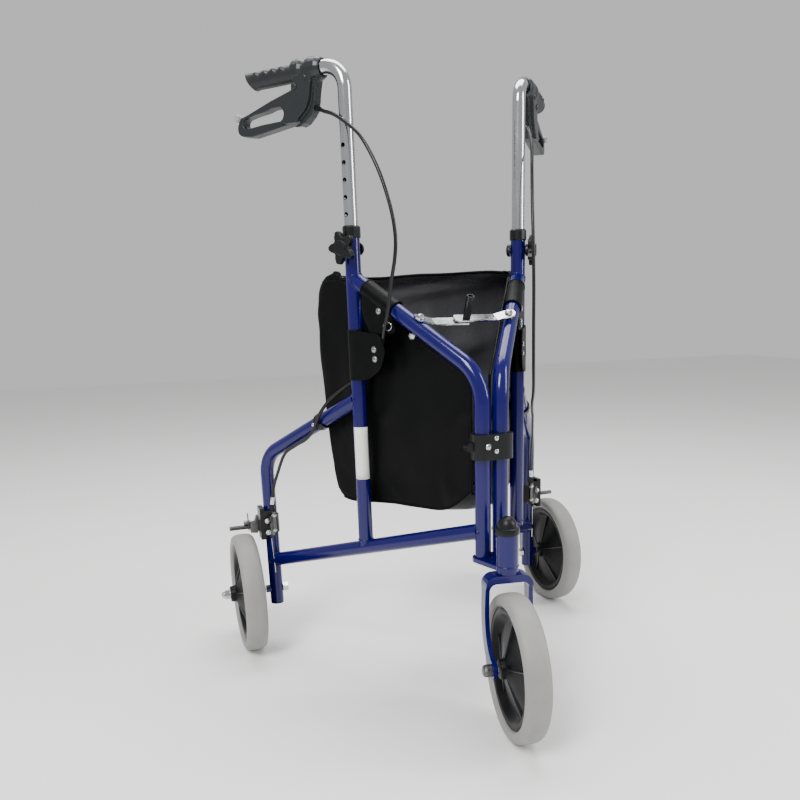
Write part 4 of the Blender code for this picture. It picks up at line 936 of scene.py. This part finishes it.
# ---------------------------------------------------------------- bag straps on the side frames
def plate_piece(name, side, outline, off_near, off_far, look, curl=0.0):
    """A thin soft tab in the frame's plane, from a rounded (u, z) outline; curl lifts its front edge."""
    corners = [Vector((u, z, 0)) for u, z in outline]
    ring_points = []
    for i, corner in enumerate(corners):
        before, after = corners[i - 1], corners[(i + 1) % len(corners)]
        reach = min(0.007, (before - corner).length * 0.4, (after - corner).length * 0.4)
        a = corner + (before - corner).normalized() * reach
        b = corner + (after - corner).normalized() * reach
        for k in range(5):
            t = k / 4
            ring_points.append(a * (1 - t) ** 2 + corner * 2 * t * (1 - t) + b * t * t)
    bm = bmesh.new()
    far_u = max(p.x for p in ring_points)
    near_u = min(p.x for p in ring_points)
    face = bm.faces.new([bm.verts.new((p.x, p.y, 0)) for p in ring_points])
    bmesh.ops.triangulate(bm, faces=[face])
    bmesh.ops.subdivide_edges(bm, edges=bm.edges, cuts=4, use_grid_fill=True)
    for vert in bm.verts:
        u, z = vert.co.x, vert.co.y
        t = (far_u - u) / (far_u - near_u)
        off = (off_near + off_far) / 2 + curl * t * t + 0.0006 * noise.noise(Vector((u * 60, z * 60, side)))
        vert.co = place(side, u, z, off)
    obj = link_mesh(name, bm, look, 60)
    thick = obj.modifiers.new("thickness", "SOLIDIFY")
    thick.thickness = off_far - off_near
    thick.offset = 0.0
    add_bevel(obj, 0.0004, 2, 50)
    return obj


def straps(name, side):
    body = "frame_" + name
    out = outward(side)
    a, b = place(side, 0.139, upper_z(0.139)), place(side, 0.190, upper_z(0.190))
    line = (b - a).normalized()
    steps = [a.lerp(b, k / 12) for k in range(13)]
    cuff = [tube("cuff", steps, 0.0130, VINYL, wall=0.0016, sides=40),
            ring("hem", a + line * 0.0012, line, 0.0129, 0.0009, VINYL),
            ring("hem", b - line * 0.0012, line, 0.0129, 0.0009, VINYL)]
    hang = [(0.139, upper_z(0.139) - 0.004), (0.189, upper_z(0.189) - 0.004), (0.191, 0.557),
            (0.177, 0.527), (0.133, 0.528)]
    cuff.append(plate_piece("hang", side, hang, 0.0100, 0.0118, VINYL, curl=-0.002))
    settle(merge(f"bag_cuff_{name}", cuff), body, "bag_sleeve_" + name)
    wrap_low, wrap_high = place(side, UPRIGHT_U, 0.462), place(side, UPRIGHT_U, 0.533)
    wrap = [tube("wrap", [wrap_low.lerp(wrap_high, k / 8) for k in range(9)], 0.0124, VINYL,
                 wall=0.0013, sides=40),
            ring("hem", wrap_low + Vector((0, 0, 0.001)), (0, 0, 1), 0.0124, 0.0007, VINYL),
            ring("hem", wrap_high - Vector((0, 0, 0.001)), (0, 0, 1), 0.0124, 0.0007, VINYL)]
    tab = [(0.213, 0.533), (0.159, 0.527), (0.150, 0.503), (0.159, 0.479), (0.183, 0.464), (0.213, 0.462)]
    wrap.append(plate_piece("tab", side, tab, 0.0119, 0.0135, VINYL))
    for u, z in ((0.169, 0.493), (0.170, 0.506)):
        wrap.append(dome("snap", place(side, u, z, 0.0136), out, 0.0033, 0.0016, SNAP, rim=0.0012))
    wrap.append(dome("snap", place(side, 0.1605, 0.5577, 0.0119), out, 0.0033, 0.0016, SNAP, rim=0.0012))
    settle(merge(f"bag_wrap_{name}", wrap), body)
    loop = [place(side, 0.1445 + 0.0070 * math.cos(a), 0.5375 + 0.0055 * math.sin(a), 0.0128)
            for a in [2 * math.pi * k / 40 for k in range(41)]]
    settle(tube(f"bag_ring_{name}", loop, 0.0010, SNAP, sides=12), body)


def brake_details(name, side):
    """Return spring, pivot screws and a bent steel plate on the brake bracket."""
    body = "frame_" + name
    low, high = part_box("brake_bracket_" + name)
    front = Vector((0, low.y - 0.0006, 0))
    middle = (low + high) / 2
    pieces = []
    for x, z in ((-0.0055, 0.012), (0.0060, 0.004), (-0.0050, -0.013), (0.0055, -0.016)):
        at = Vector((middle.x + side * x, front.y + 0.0002, middle.z + z))
        pieces.append(dome("screw", at, (0, -1, 0), 0.0030, 0.0022, ZINC, rim=0.0010))
    coil = []
    turns, steps = 9, 24
    for k in range(turns * steps + 1):
        a = 2 * math.pi * k / steps
        coil.append(Vector((middle.x + side * 0.0005 + 0.0030 * math.cos(a),
                            front.y - 0.0035 + 0.0030 * math.sin(a), middle.z - 0.011 + 0.0026 * k / steps)))
    pieces.append(tube("coil", coil, 0.00055, DARK_STEEL, sides=8))
    bm = bmesh.new()
    outline = [(-0.0085, 0.018), (-0.0030, 0.0195), (-0.0025, 0.006), (0.0015, -0.002), (0.0020, -0.020),
               (-0.0040, -0.022), (-0.0088, -0.012)]
    for near in (True, False):
        bm.faces.new([bm.verts.new((middle.x + side * x, front.y - (0.0014 if near else 0), middle.z + z))
                      for x, z in outline])
    bm.verts.ensure_lookup_table()
    count = len(outline)
    for k in range(count):
        n = (k + 1) % count
        bm.faces.new((bm.verts[k], bm.verts[n], bm.verts[count + n], bm.verts[count + k]))
    pieces.append(link_mesh("plate", bm, DARK_STEEL, 30, bevel=0.0004))
    settle(merge(f"brake_fittings_{name}", pieces), body)


def blank_label(name, side):
    """A label with nothing on it, wrapped round the upright's front."""
    low, high, wide = 0.316, 0.394, 1.10
    middle = math.atan2(-0.963, side * 0.268)
    columns, rows = 12, 6
    bm = bmesh.new()
    grid = []
    for j in range(rows + 1):
        z = low + (high - low) * j / rows
        line = []
        for k in range(columns + 1):
            angle = middle + wide * (2 * k / columns - 1)
            spoke = Vector((math.cos(angle), math.sin(angle), 0)) * (TUBE_R + 0.0004)
            line.append(bm.verts.new(place(side, UPRIGHT_U, z) + spoke))
        grid.append(line)
    for near, far in zip(grid, grid[1:]):
        for k in range(columns):
            bm.faces.new((near[k], near[k + 1], far[k + 1], far[k]))
    label = link_mesh(f"blank_label_{name}", bm, PAPER, 60)
    label.modifiers.new("thickness", "SOLIDIFY").thickness = 0.0002
    settle(label, "frame_" + name)


def frame_details(name, side):
    """Leg screw, cable ferrule, bare wire tail and the brake's fittings."""
    body = "frame_" + name
    screw = place(side, 0.300, leg_z(0.300), TUBE_R - 0.0002)
    settle(dome(f"leg_screw_{name}", screw, outward(side), 0.0028, 0.0014, ZINC), body)
    stop = place(side, *CABLE_STOP[:2], CABLE_STOP[2])
    ferrule = [(0.0, 0.0006), (0.0033, 0.0006), (0.0034, 0.0012), (0.0034, 0.0125), (0.0030, 0.0138),
               (0.00255, 0.0138), (0.00255, 0.0020), (0.0, 0.0020)]
    lean = (place(side, 0.4040, 0.2790, 0.0068) - stop).normalized()
    settle(lathe(f"cable_ferrule_{name}", ferrule, axis_matrix(stop, lean), ZINC, 28), body)
    ahead = Vector((side * 0.147, -0.98, 0.13)) * 0.0150
    tail = smooth_route([place(side, u, z) + ahead for u, z in
                         ((0.4264, 0.1900), (0.4256, 0.1720), (0.4238, 0.1500), (0.4231, 0.1310))], 8)
    settle(tube(f"wire_tail_{name}", tail, 0.0010, CHROME, sides=10), body)
    brake_details(name, side)


for side_name, side_sign in SIDES:
    straps(side_name, side_sign)
    if side_name == "left":
        blank_label(side_name, side_sign)
    frame_details(side_name, side_sign)


# ---------------------------------------------------------------- floor and light
def stage_floor():
    bm = bmesh.new()
    bmesh.ops.create_grid(bm, x_segments=24, y_segments=24, size=6.0)
    obj = link_mesh("studio_floor", bm, FLOOR)
    obj.location.z = -0.0006


def area_light(name, at, toward, size, power):
    data = bpy.data.lights.new(name, "AREA")
    data.shape = "RECTANGLE"
    data.size, data.size_y = size
    data.energy = power
    obj = bpy.data.objects.new(name, data)
    obj.matrix_world = axis_matrix(at, Vector(at) - Vector(toward))
    bpy.context.scene.collection.objects.link(obj)


def studio():
    world = bpy.data.worlds.new("studio")
    world.use_nodes = True
    world.node_tree.nodes["Background"].inputs["Color"].default_value = (1.0, 1.0, 1.0, 1.0)
    world.node_tree.nodes["Background"].inputs["Strength"].default_value = 0.62
    bpy.context.scene.world = world
    area_light("key", (-1.6, -1.5, 2.4), (0, 0, 0.4), (0.9, 1.3), 95)
    area_light("fill", (1.9, -1.2, 1.4), (0, 0, 0.4), (0.5, 1.6), 38)
    area_light("top", (0.2, 0.6, 2.6), (0, 0, 0.4), (2.2, 1.4), 70)


stage_floor()
studio()
